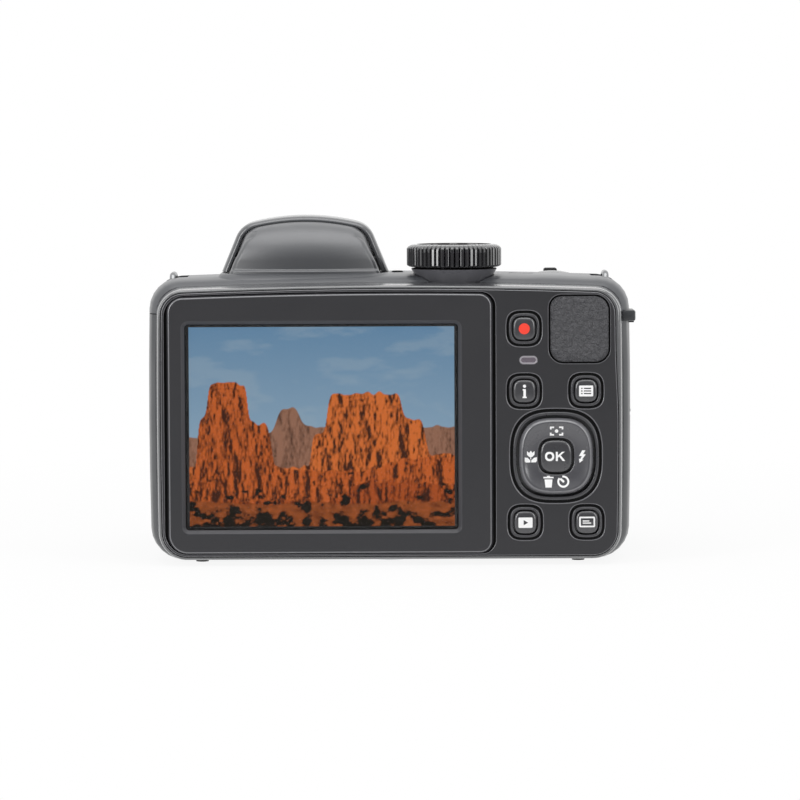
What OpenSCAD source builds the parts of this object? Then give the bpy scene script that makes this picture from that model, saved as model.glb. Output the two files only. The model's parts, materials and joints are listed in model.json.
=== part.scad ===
// Bridge camera with a three-inch screen, a pop-up flash and a two-stage zoom barrel.
// Millimetres. +X is the photographer's right, +Y is the way the lens points, +Z is up.
// The origin is the mouth of the tripod socket on the base.
// The picture and the control panel set the width of the body, and the lens barrel sets its height.

/* [Screen] */
// Width of the visible picture
lcd_w = 60.96; // [55:0.02:67]
// Height of the picture as a share of its width
lcd_ratio = 0.75; // [0.7:0.01:0.76]
// Border of the screen surround left of the picture
surround_l = 4.22; // [3.8:0.02:5]
// Border of the screen surround right of the picture
surround_r = 8.02; // [7.2:0.02:9]
// How far the screen surround stands proud of the rear face
bezel_proud = 0.4; // [0.3:0.05:0.5]

/* [Rear cover] */
// Width of the control panel right of the surround
control_w = 27.35; // [25:0.05:30]
// Groove between the surround and the control panel
groove = 1.25; // [1.1:0.05:1.5]
// Depth of the rear cover's drafted wall
rear_d = 7; // [6.6:0.1:7.4]
// Thickness of the rear face
face_t = 2; // [1.8:0.1:2.2]
// Corner radius of the rear face, upper corners
face_rt = 5; // [4.5:0.1:5.5]
// Corner radius of the rear face, lower corners
face_rb = 5.6; // [5:0.1:6]

/* [Body] */
// Height of the top deck over the lens barrel
deck_over = 3.35; // [3.1:0.05:4.5]
// Height of the lens barrel over the feet plane
barrel_lift = 3; // [2.8:0.1:3.4]
// Rise of the top deck from its ends to its middle
deck_crown = 1.25; // [1:0.05:1.5]
// Distance from the tripod axis back to the rear face
rear_y = 18; // [16.5:0.1:19.5]
// Distance from the tripod axis forward to the front face
front_y = 17; // [15.5:0.1:18.5]
// Height of the shell's underside above the feet plane
base_z = 0.45; // [0.4:0.05:0.5]
// Wall thickness of the moulded shells
wall = 1.8; // [1.6:0.1:2]
// Gap along every seam between two covers
seam = 0.2; // [0.1:0.05:0.3]

/* [Buttons] */
// Width of a button cap
cap_w = 5.5; // [5:0.1:6]
// Height of a button cap
cap_h = 5.6; // [5.1:0.1:6.1]
// Travel of a rear button
key_travel = 0.5; // [0.45:0.05:0.55]
// Width of the four-way pad
pad_w = 16.8; // [15.2:0.1:18.4]
// Width of the centre button inside the pad
set_w = 7.2; // [6.5:0.1:7.9]

/* [Lens] */
// Outer radius of the fixed barrel inside the body
barrel_r = 29.8; // [27:0.1:32.7]
// Front end of the fixed barrel
barrel_y = 43; // [39:0.5:47]
// Travel of each zoom tube
zoom_travel = 24; // [22:0.5:26]
// Radial gap between one tube and the next
tube_gap = 0.4; // [0.35:0.05:0.45]

/* [Flash] */
// Half-width of the hump at its base
hump_hw = 19.3; // [17.4:0.1:21.2]
// Height of the hump above its base
hump_h = 12.7; // [11.5:0.1:13.9]
// Lean of the hump's flanks from the vertical, in degrees
hump_lean = 22.5; // [20:0.5:25]
// Height of the hump's hinge axis above the hump's base
hinge_up = 2.6; // [2.4:0.1:2.8]

/* [Dial and grip] */
// Radius of the mode dial
dial_r = 10.84; // [9.8:0.02:11.9]
// Number of flutes round the dial
dial_flutes = 60; // [54:2:66]
// Width of the hand grip
grip_w = 27.8; // [25.2:0.1:30.5]
// Front of the hand grip
grip_y = 46; // [42:0.1:50]

/* [Hidden] */
$fn = 64;
eps = 0.01;
gap = 0.3;

face_border = 1.6;
face_in = 3.7;
face_w = face_border + surround_l + lcd_w + surround_r + groove + control_w;
face_hw = face_w / 2;
body_w = face_w + 2 * face_in;
body_hw = body_w / 2;
body_h = barrel_lift + 2 * barrel_r + deck_over;
side_bulge = 0.45;
rear_face = -rear_y;
seam_y = rear_face + rear_d;
shell_y = seam_y + seam;
slope_l = 8.8;
slope_in = 1.95;
slope_down = 1.7;
edge_l = 4.5;
edge_in = 3.4;
deck_end = body_h - deck_crown;
body_rt = 6.5;
body_rb = 7.2;
split_z = body_h - 8.95;
face_top = body_h - 3.55;
face_bot = 1.8;
face_h = face_top - face_bot;
seam_hw = body_hw - 2.05;
inner_face = rear_face + face_t;
far = 90;

control_x0 = face_hw - control_w;
bezel_x0 = face_border - face_hw;
bezel_x1 = control_x0 - groove;
bezel_z0 = 2.97;
bezel_z1 = face_top - 1.05;
bezel_face = rear_face - bezel_proud;
bezel_back = rear_face + 1;
bezel_edge = 0.35;
bezel_bevel = 1.15;
window_t = 0.75;
lcd_h = lcd_w * lcd_ratio;
lcd_x = bezel_x0 + surround_l + lcd_w / 2;
lcd_z = (face_bot + face_top) / 2 - 0.5;
lcd_front = inner_face;
lcd_t = 2.4;
lcd_rim = 3.8;
tray_t = 0.5;
tray_back = lcd_front + lcd_t + 0.1 + tray_t;
board_t = 1.1;
board_y = tray_back + 0.6;
board_x0 = bezel_x0 + 2.1;
board_x1 = bezel_x1 - 0.6;
board_z0 = face_bot + 5.2;
board_z1 = face_top - 5.4;

cap_r = 1.95;
cap_gap = 0.35;
cap_proud = 0.75;
collar_w = 1.1;
collar_proud = 0.45;
flange_t = 0.6;
flange_y = inner_face + gap;
mat_y = flange_y + flange_t + key_travel + gap;
mat_t = 1.3;
key_board_y = mat_y + mat_t;
key_board_t = 1;

pad_h = pad_w + 0.6;
pad_gap = 0.55;
pad_r = 7;
pad_proud = 1.2;
pad_collar_w = 1.5;
pad_back = inner_face + 1.1;
rocker_y = pad_back + 0.7;
rocker_t = 0.5;
rocker_ro = 7.4;
rocker_ri = 5.4;
set_h = set_w + 0.16;
set_r = 2.5;
set_gap = 0.45;
set_flange = 0.75;
set_step = rear_face + 1.5;

// Place in the control panel, as shares of its width and of the rear face's height
function control(u, v) = [control_x0 + u * control_w, face_bot + v * face_h];

record_at = control(0.2263, 0.8581);
info_at = control(0.2271, 0.6238);
menu_at = control(0.7367, 0.6248);
play_at = control(0.2329, 0.1317);
display_at = control(0.7441, 0.1318);
button_at = [record_at, info_at, menu_at, play_at, display_at];
pad_at = control(0.4881, 0.3804);
lamp_at = control(0.2614, 0.7403);
lamp_w = 3.9;
lamp_h = 1.7;
thumb_at = control(0.6837, 0.8558);
thumb_w = 0.49 * control_w;
thumb_h = 0.2483 * face_h;
thumb_r = 2.2;
thumb_floor = rear_face + 0.6;
ledge = 0.1;

lens_x = barrel_r + 6.2 - body_hw;
lens_z = barrel_lift + barrel_r;
plate_w = 2 * barrel_r - 5.6;
plate_t = 1.2;
plate_y = board_y + board_t + 2.7;
barrel_back = plate_y + plate_t;
barrel_bore = barrel_r - 2.2;
mid_r = barrel_bore - tube_gap;
mid_bore = mid_r - 2;
mid_y0 = barrel_y - zoom_travel - 15;
mid_y1 = barrel_y + 4.5;
cell_r = 0.44 * barrel_r;
relay_r = 0.4 * barrel_r;
relay_y1 = mid_y0 - 3;
inner_r = mid_bore - tube_gap;
inner_bore = inner_r - 2.2;
inner_y0 = mid_y0 + 4;
inner_y1 = barrel_y + 9;
iris_r = inner_bore - 5.2;
ring_y1 = inner_y1 + 4;
sleeve_r = barrel_r + 2.4;
sleeve_y0 = front_y + gap;
lens_hole = barrel_r + gap;

hump_x = lens_x;
hump_z = body_h + gap;
hump_r = 5.5;
hump_crown = 52;
hump_side = 1.7;
hump_top = 1.3;
hinge_y = rear_face + 20;
hinge_z = hump_z + hinge_up;
pin_r = 0.9;
run = 0.06;
ear_r = 2.1;
ear_t = 2.4;
ear_x = hump_hw - 4.1;
cowl_l = 38.5;
cowl_front = hinge_y + cowl_l;
drum_hw = hump_hw - hump_side - 0.45;
drum_h = hump_h - 1.65;
prow_l = 18;
prow_hw = hump_hw - 2.3;
lift_max = 38;
flash_hw = 0.57 * hump_hw;
flash_z0 = hump_z + 0.11 * hump_h;
flash_z1 = hump_z + 0.425 * hump_h;
flash_zm = (flash_z0 + flash_z1) / 2;
tube_y = cowl_front - 5.2;

floor_y0 = drum_h - hinge_up + 2.15;

// Rings of the hump from the hinge forward, as shares of its length, half-width and height
cowl_rings = [[0, 1, 1], [0.26, 0.99, 1.01], [0.57, 0.94, 0.95], [0.805, 0.87, 0.82], [0.935, 0.81, 0.69],
    [1, 0.74, 0.58]];

grip_x1 = body_hw - 0.8;
grip_x = grip_x1 - grip_w;
grip_z = body_h - 3.65;
grip_round = 0.45 * grip_w;
shutter_x = (grip_x + grip_x1) / 2 - 2;
shutter_y = grip_y - 13;
shutter_r = 4.6;
shutter_top = grip_z + 2.75;
shutter_travel = 0.7;
shutter_foot = grip_z - wall - gap - 0.8;
lever_r = 8.4;
lever_bore = 5.1;
lever_hub = 5.9;
top_board_z = shutter_foot - shutter_travel - gap;

dial_x = body_hw - 40.5;
dial_y = rear_face + 13.5;
dial_z0 = body_h + 1.45;
dial_z1 = dial_z0 + 5.4;
dial_chamfer = 1.1;
flute_d = 0.45;
collar_z1 = dial_z0 - gap;
collar_z0 = body_h - 2.55;
collar_r1 = dial_r - 1.04;
collar_r0 = collar_r1 - 2;
collar_foot_r = collar_r0 - 0.4;
collar_foot_z = collar_z0 - 1;
shaft_r = 2.4;
power_at = [grip_x + 3.7, hinge_y + 1.5];
power_r = 2.6;
flash_key_at = [hump_x + hump_hw + 2, hinge_y + 2];
flash_key_r = 1.3;

door_y0 = -5.5;
door_y1 = 9.5;
door_z0 = split_z - 22.7;
door_z1 = split_z - 0.4;
knuckle_r = 0.95;
knuckle_x = body_hw - 1.05;
pin2_r = 0.45;
pin2_run = 0.05;
pin2_fit = 0.02;
port_x1 = body_hw - wall - 0.5;

hatch_x = grip_x + 4.7;
hatch_z = base_z + 1.05;
hatch_top = 4.5;
hatch_y0 = 1;
hatch_y1 = grip_y - 6.5;
hatch_k0 = hatch_y0 + 2;
hatch_k1 = hatch_y1 - 8.5;
hatch_plate_x = hatch_x + 1.6;
hatch_swing = 0.35;
latch_x = grip_x1 - 13.2;
latch_y = (hatch_y0 + hatch_y1) / 2 - 4.25;
latch_w = 5;
latch_h = 6;
latch_travel = 2.5;

lug_x = body_hw - 5.4;
lug_y = 6;
lug_r = 0.75;
lug_half = 4.1;
lug_bend = 2;
lug_top = deck_end + 1.4;
lug_floor = split_z + 2;
lug_pocket = 5.1;

cell_w = 11;
cell_l = 27.5;
cell_x1 = grip_x1 - 6.6;
cell_x0 = cell_x1 - cell_w;
cell_y1 = grip_y - 7.5;
cell_y0 = cell_y1 - cell_l;
cell_z0 = base_z + wall + 0.4;
cell_z1 = grip_z - 12.3;
holder_t = 1.4;

cap_can_r = 5;
cap_can_h = 32;
cap_can_at = [(lens_x + barrel_r + cell_x0 - holder_t) / 2 - 2.5, 4.5];
boss_z0 = base_z + wall - 0.3;
boss_h = 9.9;
af_at = [(lens_x + sleeve_r + grip_x) / 2, split_z - 7];
af_r = 2.6;
socket_r = 5.5;
socket_neck = 3.4;
socket_h = 5.6;
thread_r = 2.55;
thread_l = 4.8;
foot_r = 1.45;
feet_at = [[12.2 - body_hw, rear_face + 11.5], [body_hw - 12.2, rear_face + 11.5],
    [12.4 - body_hw, front_y - 4.4], [grip_x1 - 13.6, grip_y - 4]];
screw_r = 0.85;
screw_head = 1.7;
screw_x0 = lens_x - 0.456 * barrel_r;
screw_x1 = lens_x + barrel_r + 3.6;
screws_at = [[screw_x0, rear_face + 13], [screw_x1, rear_face + 13],
    [screw_x0, front_y - 6.5], [screw_x1, front_y - 5]];

// Points of an arc round a centre
function arc(c, r, a0, a1, n) = [for (i = [0:n]) let (a = a0 + (a1 - a0) * i / n) c + r * [cos(a), sin(a)]];

// Points strictly between two points
function between(p, q, n) = [for (i = [1:n]) p + (q - p) * i / (n + 1)];

// Rounded rectangle, counter-clockwise from the lower right corner; r holds the corner radii in that order
function round_rect(x0, x1, z0, z1, r, n = 6, m = 3) = concat(
    arc([x1 - r[0], z0 + r[0]], r[0], -90, 0, n),
    between([x1, z0 + r[0]], [x1, z1 - r[1]], m),
    arc([x1 - r[1], z1 - r[1]], r[1], 0, 90, n),
    between([x1 - r[1], z1], [x0 + r[2], z1], 2 * m),
    arc([x0 + r[2], z1 - r[2]], r[2], 90, 180, n),
    between([x0, z1 - r[2]], [x0, z0 + r[3]], m),
    arc([x0 + r[3], z0 + r[3]], r[3], 180, 270, n));

// Bends an outline so that its upper edge follows the deck's crown and its sides swell
function crowned(pts, z0, z1, crown, bulge) = [for (p = pts)
    let (u = p[0] / body_hw, v = (2 * p[1] - z0 - z1) / (z1 - z0))
    [p[0] + bulge * u * (1 - v * v), p[1] + crown * (1 - u * u) * (p[1] - z0) / (z1 - z0)]];

// Section of the body shell, drawn in from its sides, top and base
function body_section(side, top, base) = let (
    hw = body_hw - side_bulge - side,
    z0 = base_z + base,
    z1 = deck_end - top,
    rt = body_rt - top / 2,
    rb = body_rb - base / 2)
    crowned(round_rect(-hw, hw, z0, z1, [rb, rt, rt, rb]), z0, z1, deck_crown, side_bulge);

// Section of the rear cover; t runs from the rear face (0) to the seam (1)
function rear_section(t, inset) = let (
    hw = face_hw - 0.3 + t * (seam_hw - face_hw) - inset,
    z0 = face_bot + t * (base_z + 0.5 - face_bot) + inset,
    z1 = face_top + t * (deck_end - 1.7 - face_top) - inset,
    rt = max(1, face_rt + t - inset),
    rb = max(1, face_rb + t - inset))
    crowned(round_rect(-hw, hw, z0, z1, [rb, rt, rt, rb]), z0, z1, deck_crown, 0.3);

// Quarter round: how far in the surface still lies at a share t of the rounding's length
function quarter(t) = 1 - sqrt(1 - pow(1 - t, 2));

function lift(pts, y) = [for (p = pts) [p[0], y, p[1]]];
function raise(pts, z) = [for (i = [len(pts) - 1:-1:0]) [pts[i][0], pts[i][1], z]];

// Arch of the hump: leaning flanks, round shoulders and a shallow crown, standing on z
function arch(hw, h, r, z, n = 6) = let (
    d = [-sin(hump_lean), cos(hump_lean)],
    out = [cos(hump_lean), sin(hump_lean)],
    top = [0, h - hump_crown],
    q = [hw, 0] - r * out - top,
    s = -q * d + sqrt(pow(q * d, 2) - q * q + pow(hump_crown - r, 2)),
    c = [hw, 0] + s * d - r * out,
    a = atan2(c[1] - top[1], c[0]),
    half = concat([[hw, 0]], arc(c, r, hump_lean, a, n), arc(top, hump_crown, a, 90, 4)))
    [for (p = concat(half, [for (i = [len(half) - 2:-1:0]) [-half[i][0], half[i][1]]]))
        [hump_x + p[0], z + p[1]]];

// Solid through a row of rings that all have the same number of points
module loft(rings) {
    n = len(rings[0]);
    m = len(rings);
    pts = [for (ring = rings) for (p = ring) p];
    sides = [for (k = [0:m - 2]) for (i = [0:n - 1]) for (f = [0:1])
        let (a = k * n + i, b = k * n + (i + 1) % n, c = a + n, d = b + n)
        f == 0 ? [a, b, c] : [b, d, c]];
    polyhedron(pts, concat(sides, [[for (i = [n - 1:-1:0]) i], [for (i = [0:n - 1]) (m - 1) * n + i]]));
}

// Extrudes a drawing in X and Z from y0 to y1
module slab(y0, y1) {
    translate([0, y1, 0])
        rotate([90, 0, 0])
            linear_extrude(y1 - y0)
                children();
}

// Rounded rectangle with true arcs
module pill(w, h, r) {
    square([w - 2 * r, h], center = true);
    square([w, h - 2 * r], center = true);
    for (x = [-1, 1])
        for (y = [-1, 1])
            translate([x * (w / 2 - r), y * (h / 2 - r)])
                circle(r, $fn = 32);
}

module pill_at(c, w, h, r) {
    translate(c)
        pill(w, h, r);
}

// Cylinder along +Y about the lens axis
module lens_cyl(r, y0, y1) {
    translate([lens_x, y0, lens_z])
        rotate([-90, 0, 0])
            cylinder(r = r, h = y1 - y0, $fn = 96);
}

// Cylinder along +X through the flash hinge
module hinge_cyl(r, x0, x1) {
    translate([hump_x + x0, hinge_y, hinge_z])
        rotate([0, 90, 0])
            cylinder(r = r, h = x1 - x0);
}

module box(lo, hi) {
    translate(lo)
        cube(hi - lo);
}

// Body of the camera between the rear seam and the front face; inset draws in a smaller copy
module body_form(inset, y0, y1) {
    shares = [0, 0.12, 0.35, 0.65, 1];
    rear = [for (t = shares) let (i = quarter(t))
        lift(body_section(inset + slope_in * i, inset + slope_down * i, inset + 0.5 * i),
            t == 0 ? y0 : shell_y + slope_l * t)];
    front = [for (t = [1, 0.6, 0.3, 0.1, 0]) let (i = quarter(t))
        lift(body_section(inset + edge_in * i, inset + edge_in * i, inset + edge_in * i), y1 - edge_l * t)];
    loft(concat(rear, front));
}

// Hand grip, lofted upwards; inset draws in a smaller copy
module grip_form(inset, z0, z1) {
    low = [[0, 1.6, 4.8], [0.7, 0.6, 2.9], [1.9, 0.12, 1.3], [3.5, 0, 0.3], [5.2, 0, 0]];
    high = [[4.5, 0], [2.4, 0.35], [0.9, 1.3], [0, 3]];
    plan = function (i, side) let (r = grip_round - (i + side) / 2)
        round_rect(grip_x + i, grip_x1 - side, -2, grip_y - i, [2, r, r, 2]);
    loft(concat(
        [for (s = low) raise(plan(inset + s[1], inset + s[2]), z0 + s[0])],
        [for (s = high) raise(plan(inset + s[1], inset + s[1]), z1 - s[0])]));
}

// Joins its children into one closed skin before anything round is cut from it
module welded() {
    resize([0, 0, 0])
        union()
            children();
}

module shell_outside() {
    body_form(0, shell_y, front_y);
    grip_form(0, base_z, grip_z);
}

module shell_inside() {
    body_form(wall, shell_y - 1, front_y - wall);
    grip_form(wall, base_z + wall, grip_z - wall);
}

// Space of the battery door in the base, with a clearance all round
module hatch_space(c) {
    box([hatch_plate_x - hatch_swing - c, hatch_y0 - c, -1], [body_hw + 1, hatch_y1 + c, hatch_top + c]);
    box([hatch_x - 1.05 - c, hatch_k0 - c, -1], [hatch_plate_x + 1, hatch_k1 + c, hatch_top]);
}

module port_space(c) {
    box([body_hw - 5, door_y0 - c, door_z0 - knuckle_r - c], [body_hw + 1, door_y1 + c, split_z + c]);
}

// Seat of the dial's collar, cut through both covers
module collar_seat(c) {
    translate([dial_x, dial_y, collar_z0])
        cylinder(r1 = collar_r0 + c, r2 = collar_r1 + c, h = collar_z1 - collar_z0);
    translate([dial_x, dial_y, collar_z1 - eps])
        cylinder(r = collar_r1 + c, h = 2);
    translate([dial_x, dial_y, collar_foot_z - c])
        cylinder(r = collar_foot_r + c, h = 2);
}

// Rear housing: a drafted tray with raised collars round every control
module rear_cover() {
    collar_out = cap_gap + collar_w;
    pad_out = pad_gap + pad_collar_w;
    color("#3b3b3d")
        difference() {
            union() {
                loft(concat(
                    [for (s = [[0, 0.55], [0.15, 0.25], [0.45, 0.06]])
                        lift(rear_section(s[0] / rear_d, s[1]), rear_face + s[0])],
                    [for (t = [0.12, 1]) lift(rear_section(t, 0), rear_face + t * rear_d)]));
                for (b = button_at)
                    slab(rear_face - collar_proud, rear_face + 1)
                        pill_at(b, cap_w + 2 * collar_out, cap_h + 2 * collar_out, cap_r + 1.2);
                slab(rear_face - collar_proud, rear_face + 1)
                    pill_at(pad_at, pad_w + 2 * pad_out, pad_h + 2 * pad_out, pad_r + 1.8);
            }
            loft([for (t = [face_t / rear_d, 1.2])
                lift(rear_section(min(t, 1), wall - 0.2), rear_face + t * rear_d)]);
            slab(rear_face - 2, bezel_back + 0.1)
                polygon(bezel_outline(gap, 1));
            slab(rear_face, inner_face + 1)
                pill_at([lcd_x, lcd_z], lcd_w + 2.8, lcd_h + 2.8, 1);
            for (b = button_at)
                slab(rear_face - 2, inner_face + 1)
                    pill_at(b, cap_w + 2 * cap_gap, cap_h + 2 * cap_gap, cap_r + cap_gap);
            slab(rear_face - 2, inner_face + 1)
                pill_at(pad_at, pad_w + 2 * pad_gap, pad_h + 2 * pad_gap, pad_r + pad_gap);
            slab(inner_face - 0.5, inner_face + 1)
                pill_at(pad_at, pad_w + 4, pad_h + 3.4, pad_r);
            slab(rear_face - 2, inner_face + 1)
                pill_at(lamp_at, lamp_w + 0.2, lamp_h + 0.2, lamp_h / 2 + 0.05);
            slab(rear_face - 2, thumb_floor)
                pill_at(thumb_at, thumb_w + gap, thumb_h + gap, thumb_r + gap / 2);
            collar_seat(gap);
        }
}

// Outline of the screen surround, grown by a clearance and by an extra amount on its right
function bezel_outline(c, right) = let (z0 = bezel_z0 - c, z1 = bezel_z1 + c)
    crowned(round_rect(bezel_x0 - c, bezel_x1 + right, z0, z1, [2.6, 2.7, 3.2, 4.2]),
        z0, z1, deck_crown - 0.1, 0);

module lcd_bezel() {
    color("#434345")
        difference() {
            union() {
                slab(bezel_face + bezel_edge, bezel_back)
                    polygon(bezel_outline(0, 0));
                slab(bezel_face, bezel_face + bezel_edge)
                    polygon(bezel_outline(-bezel_edge, -bezel_edge));
            }
            hull() {
                slab(bezel_face - eps, bezel_face)
                    pill_at([lcd_x, lcd_z], lcd_w + 0.6 + 2 * bezel_bevel, lcd_h + 0.7 + 2 * bezel_bevel,
                        1.8);
                slab(bezel_back - 0.3, bezel_back + 0.1)
                    pill_at([lcd_x, lcd_z], lcd_w + 0.6, lcd_h + 0.7, 0.7);
            }
        }
}

module lcd_window() {
    color([0.1, 0.1, 0.12, 0.4])
        slab(bezel_back, bezel_back + window_t)
            pill_at([lcd_x, lcd_z], lcd_w + 2.4, lcd_h + 2.4, 0.8);
}

module lcd_panel() {
    color("#2a3038")
        slab(lcd_front, lcd_front + lcd_t)
            pill_at([lcd_x, lcd_z], lcd_w + lcd_rim, lcd_h + lcd_rim, 0.6);
}

module lcd_tray() {
    color("#a9acb0")
        difference() {
            slab(lcd_front + 0.1, tray_back)
                pill_at([lcd_x, lcd_z], lcd_w + lcd_rim + 1.2, lcd_h + lcd_rim + 1.2, 1.2);
            slab(lcd_front, lcd_front + lcd_t + 0.1)
                pill_at([lcd_x, lcd_z], lcd_w + lcd_rim + 0.4, lcd_h + lcd_rim + 0.4, 0.8);
            for (x = [-1, 1])
                slab(lcd_front, tray_back + 1)
                    pill_at([lcd_x + x * lcd_w / 4, lcd_z], lcd_w / 2 - 8, lcd_h - 12, 3);
        }
}

module thumb_rest() {
    color("#525254")
        union() {
            slab(rear_face - 0.35, thumb_floor)
                pill_at(thumb_at, thumb_w, thumb_h, thumb_r);
            hull() {
                slab(rear_face - 0.35, rear_face)
                    pill_at(thumb_at, thumb_w - ledge, thumb_h - ledge, thumb_r);
                slab(rear_face - 0.85, rear_face)
                    pill_at(thumb_at, thumb_w - 1.8, thumb_h - 1.8, thumb_r - 0.6);
            }
        }
}

module status_lamp() {
    color("#857f85")
        slab(rear_face - 0.05, inner_face + 0.4)
            pill_at(lamp_at, lamp_w, lamp_h, lamp_h / 2 - 0.01);
}

module keypad_mat() {
    color("#6d7176")
        slab(mat_y, mat_y + mat_t)
            difference() {
                translate([control_x0 + 1.45, face_bot + 2.8])
                    square([control_w - 3.75, face_h - 7.2]);
                translate(pad_at)
                    circle(pad_w / 2 + 2.2);
                pill_at(lamp_at, lamp_w + 0.6, lamp_h + 0.6, 1);
            }
}

module key_board() {
    color("#2f6b45")
        union() {
            slab(key_board_y, key_board_y + key_board_t)
                translate([control_x0 + 1.25, face_bot + 2.6])
                    square([control_w - 3.35, face_h - 6.8]);
            slab(inner_face + 0.7, key_board_y + eps)
                pill_at(lamp_at, 2, 1.2, 0.2);
        }
}

module main_board() {
    middle = [board_x0 + board_x1, board_z0 + board_z1] / 2;
    chip_t = 1.3;
    chips = [[[-23, 8], 12, 12], [[-3, 12], 10, 8], [[15, -2], 14, 14],
        [[-25, -14], 9, 11], [[-1, -18], 8, 7], [[21, 17], 9, 5]];
    color("#2f6b45")
        union() {
            slab(board_y, board_y + board_t)
                translate([board_x0, board_z0])
                    square([board_x1 - board_x0, board_z1 - board_z0]);
            for (c = chips)
                slab(board_y + board_t - eps, board_y + board_t + chip_t)
                    pill_at(middle + c[0], c[1], c[2], 0.5);
        }
}

module front_cover() {
    color("#2d2d2f")
        difference() {
            union() {
                welded()
                    difference() {
                        shell_outside();
                        shell_inside();
                        box([-far, -far, split_z], [far, far, 2 * far]);
                    }
                for (s = screws_at)
                    translate([s[0], s[1], boss_z0])
                        cylinder(r = 2.4, h = 3.2, $fn = 32);
                translate([cap_can_at[0], cap_can_at[1], boss_z0])
                    cylinder(r = 3, h = boss_h, $fn = 32);
            }
            lens_cyl(lens_hole, front_y - 6, front_y + 3);
            hatch_space(gap);
            port_space(gap);
            translate([hatch_x, hatch_k0 - 2, hatch_z])
                rotate([-90, 0, 0])
                    cylinder(r = pin2_r + pin2_fit, h = hatch_k1 - hatch_k0 + 4, $fn = 32);
            translate([knuckle_x, door_y0 - 1.8, door_z0])
                rotate([-90, 0, 0])
                    cylinder(r = pin2_r + pin2_fit, h = door_y1 - door_y0 + 3.6, $fn = 32);
            for (f = feet_at)
                translate([f[0], f[1], -1])
                    cylinder(r = foot_r + 0.05, h = base_z + 1.45, $fn = 32);
            for (s = screws_at)
                translate([s[0], s[1], -1]) {
                    cylinder(r = screw_head + 0.2, h = base_z + 2.1, $fn = 32);
                    cylinder(r = screw_r + 0.05, h = 8, $fn = 32);
                }
            translate([0, 0, -1])
                cylinder(r = socket_r + 0.1, h = 6);
            translate([af_at[0], front_y - 4, af_at[1]])
                rotate([-90, 0, 0])
                    cylinder(r = af_r + 0.1, h = 6, $fn = 48);
        }
}

// Top cover with the dial seat, the shutter deck, the strap pockets and the prow under the flash
module top_cover() {
    color("#38383a")
        difference() {
            welded() {
                difference() {
                    shell_outside();
                    shell_inside();
                    box([-far, -far, -10], [far, far, split_z + seam]);
                }
                intersection() {
                    body_form(0, shell_y, front_y);
                    for (x = [-lug_x, lug_x])
                        box([x - 6, lug_y - lug_pocket - 1.4, split_z + seam],
                            [x + 6, lug_y + lug_pocket + 1.4, far]);
                }
                hull() {
                    box([hump_x - prow_hw, front_y - wall + 0.1, body_h - 6],
                        [hump_x + prow_hw, front_y, body_h]);
                    box([hump_x - prow_hw + 2.5, front_y + prow_l, body_h - 6],
                        [hump_x + prow_hw - 2.5, front_y + prow_l + 1, body_h - 1.2]);
                }
            }
            lens_cyl(sleeve_r + gap, front_y + eps, front_y + 40);
            lens_cyl(lens_hole, front_y - 6, front_y + 3);
            collar_seat(gap);
            for (x = [-lug_x, lug_x]) {
                box([min(x - 3.4, 2.2 * x), lug_y - lug_pocket, lug_floor],
                    [max(x + 3.4, 2.2 * x), lug_y + lug_pocket, far]);
                for (y = [-1, 1])
                    translate([x, lug_y + y * lug_half, split_z + 0.4])
                        cylinder(r = lug_r + 0.03, h = 4, $fn = 32);
            }
            translate([shutter_x, shutter_y, grip_z - 4])
                cylinder(r = lever_hub + gap, h = 8);
            translate([power_at[0], power_at[1], body_h - 5])
                cylinder(r = power_r + gap, h = 8, $fn = 48);
            translate([flash_key_at[0], flash_key_at[1], body_h - 5])
                cylinder(r = flash_key_r + gap, h = 8, $fn = 48);
        }
}

module grip_rubber() {
    color("#242426")
        difference() {
            grip_form(-0.8, base_z - 0.4, grip_z + 0.4);
            grip_form(-0.02, base_z - 2, grip_z + 2);
            box([-far, -far, -10], [far, front_y + 2, far]);
            box([-far, -far, -10], [far, far, 6]);
            box([-far, -far, split_z - 1], [far, far, far]);
        }
}

module lens_barrel() {
    color("#1e1e20")
        difference() {
            lens_cyl(barrel_r, barrel_back, barrel_y);
            lens_cyl(barrel_bore, barrel_back - 1, barrel_y + 1);
        }
}

// Visible sleeve of the barrel with a ribbed band
module barrel_sleeve() {
    ribs = 5;
    pitch = 2.2;
    color("#262628")
        difference() {
            lens_cyl(sleeve_r, sleeve_y0, barrel_y + 0.6);
            lens_cyl(barrel_r + 0.1, sleeve_y0 - 1, barrel_y + 1);
            for (i = [0:ribs])
                difference() {
                    lens_cyl(sleeve_r + 1, sleeve_y0 + 8 + i * pitch, sleeve_y0 + 9 + i * pitch);
                    lens_cyl(sleeve_r - 0.5, sleeve_y0, barrel_y);
                }
        }
}

module sensor_plate() {
    color("#b4b6b8")
        slab(plate_y, plate_y + plate_t)
            difference() {
                pill_at([lens_x, lens_z], plate_w, plate_w, 4);
                for (x = [-1, 1])
                    for (z = [-1, 1])
                        translate([lens_x + x * 0.37 * plate_w, lens_z + z * 0.37 * plate_w])
                            circle(1.2, $fn = 32);
            }
}

module image_sensor() {
    color("#3a4a52")
        slab(barrel_back, barrel_back + 1.5)
            pill_at([lens_x, lens_z], 9.6, 8.2, 0.4);
}

module relay_cell() {
    color("#1c1c1e")
        difference() {
            lens_cyl(relay_r, barrel_back, relay_y1);
            lens_cyl(relay_r - 3, barrel_back - 1, relay_y1 + 1);
        }
}

module middle_tube() {
    color("#2b2b2d")
        difference() {
            lens_cyl(mid_r, mid_y0, mid_y1);
            lens_cyl(mid_bore, mid_y0 + 3, mid_y1 + 1);
            lens_cyl(cell_r - 2.1, mid_y0 - 1, mid_y0 + 4);
            lens_cyl(cell_r + 0.05, mid_y0 + 1, mid_y0 + 4);
        }
}

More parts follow.
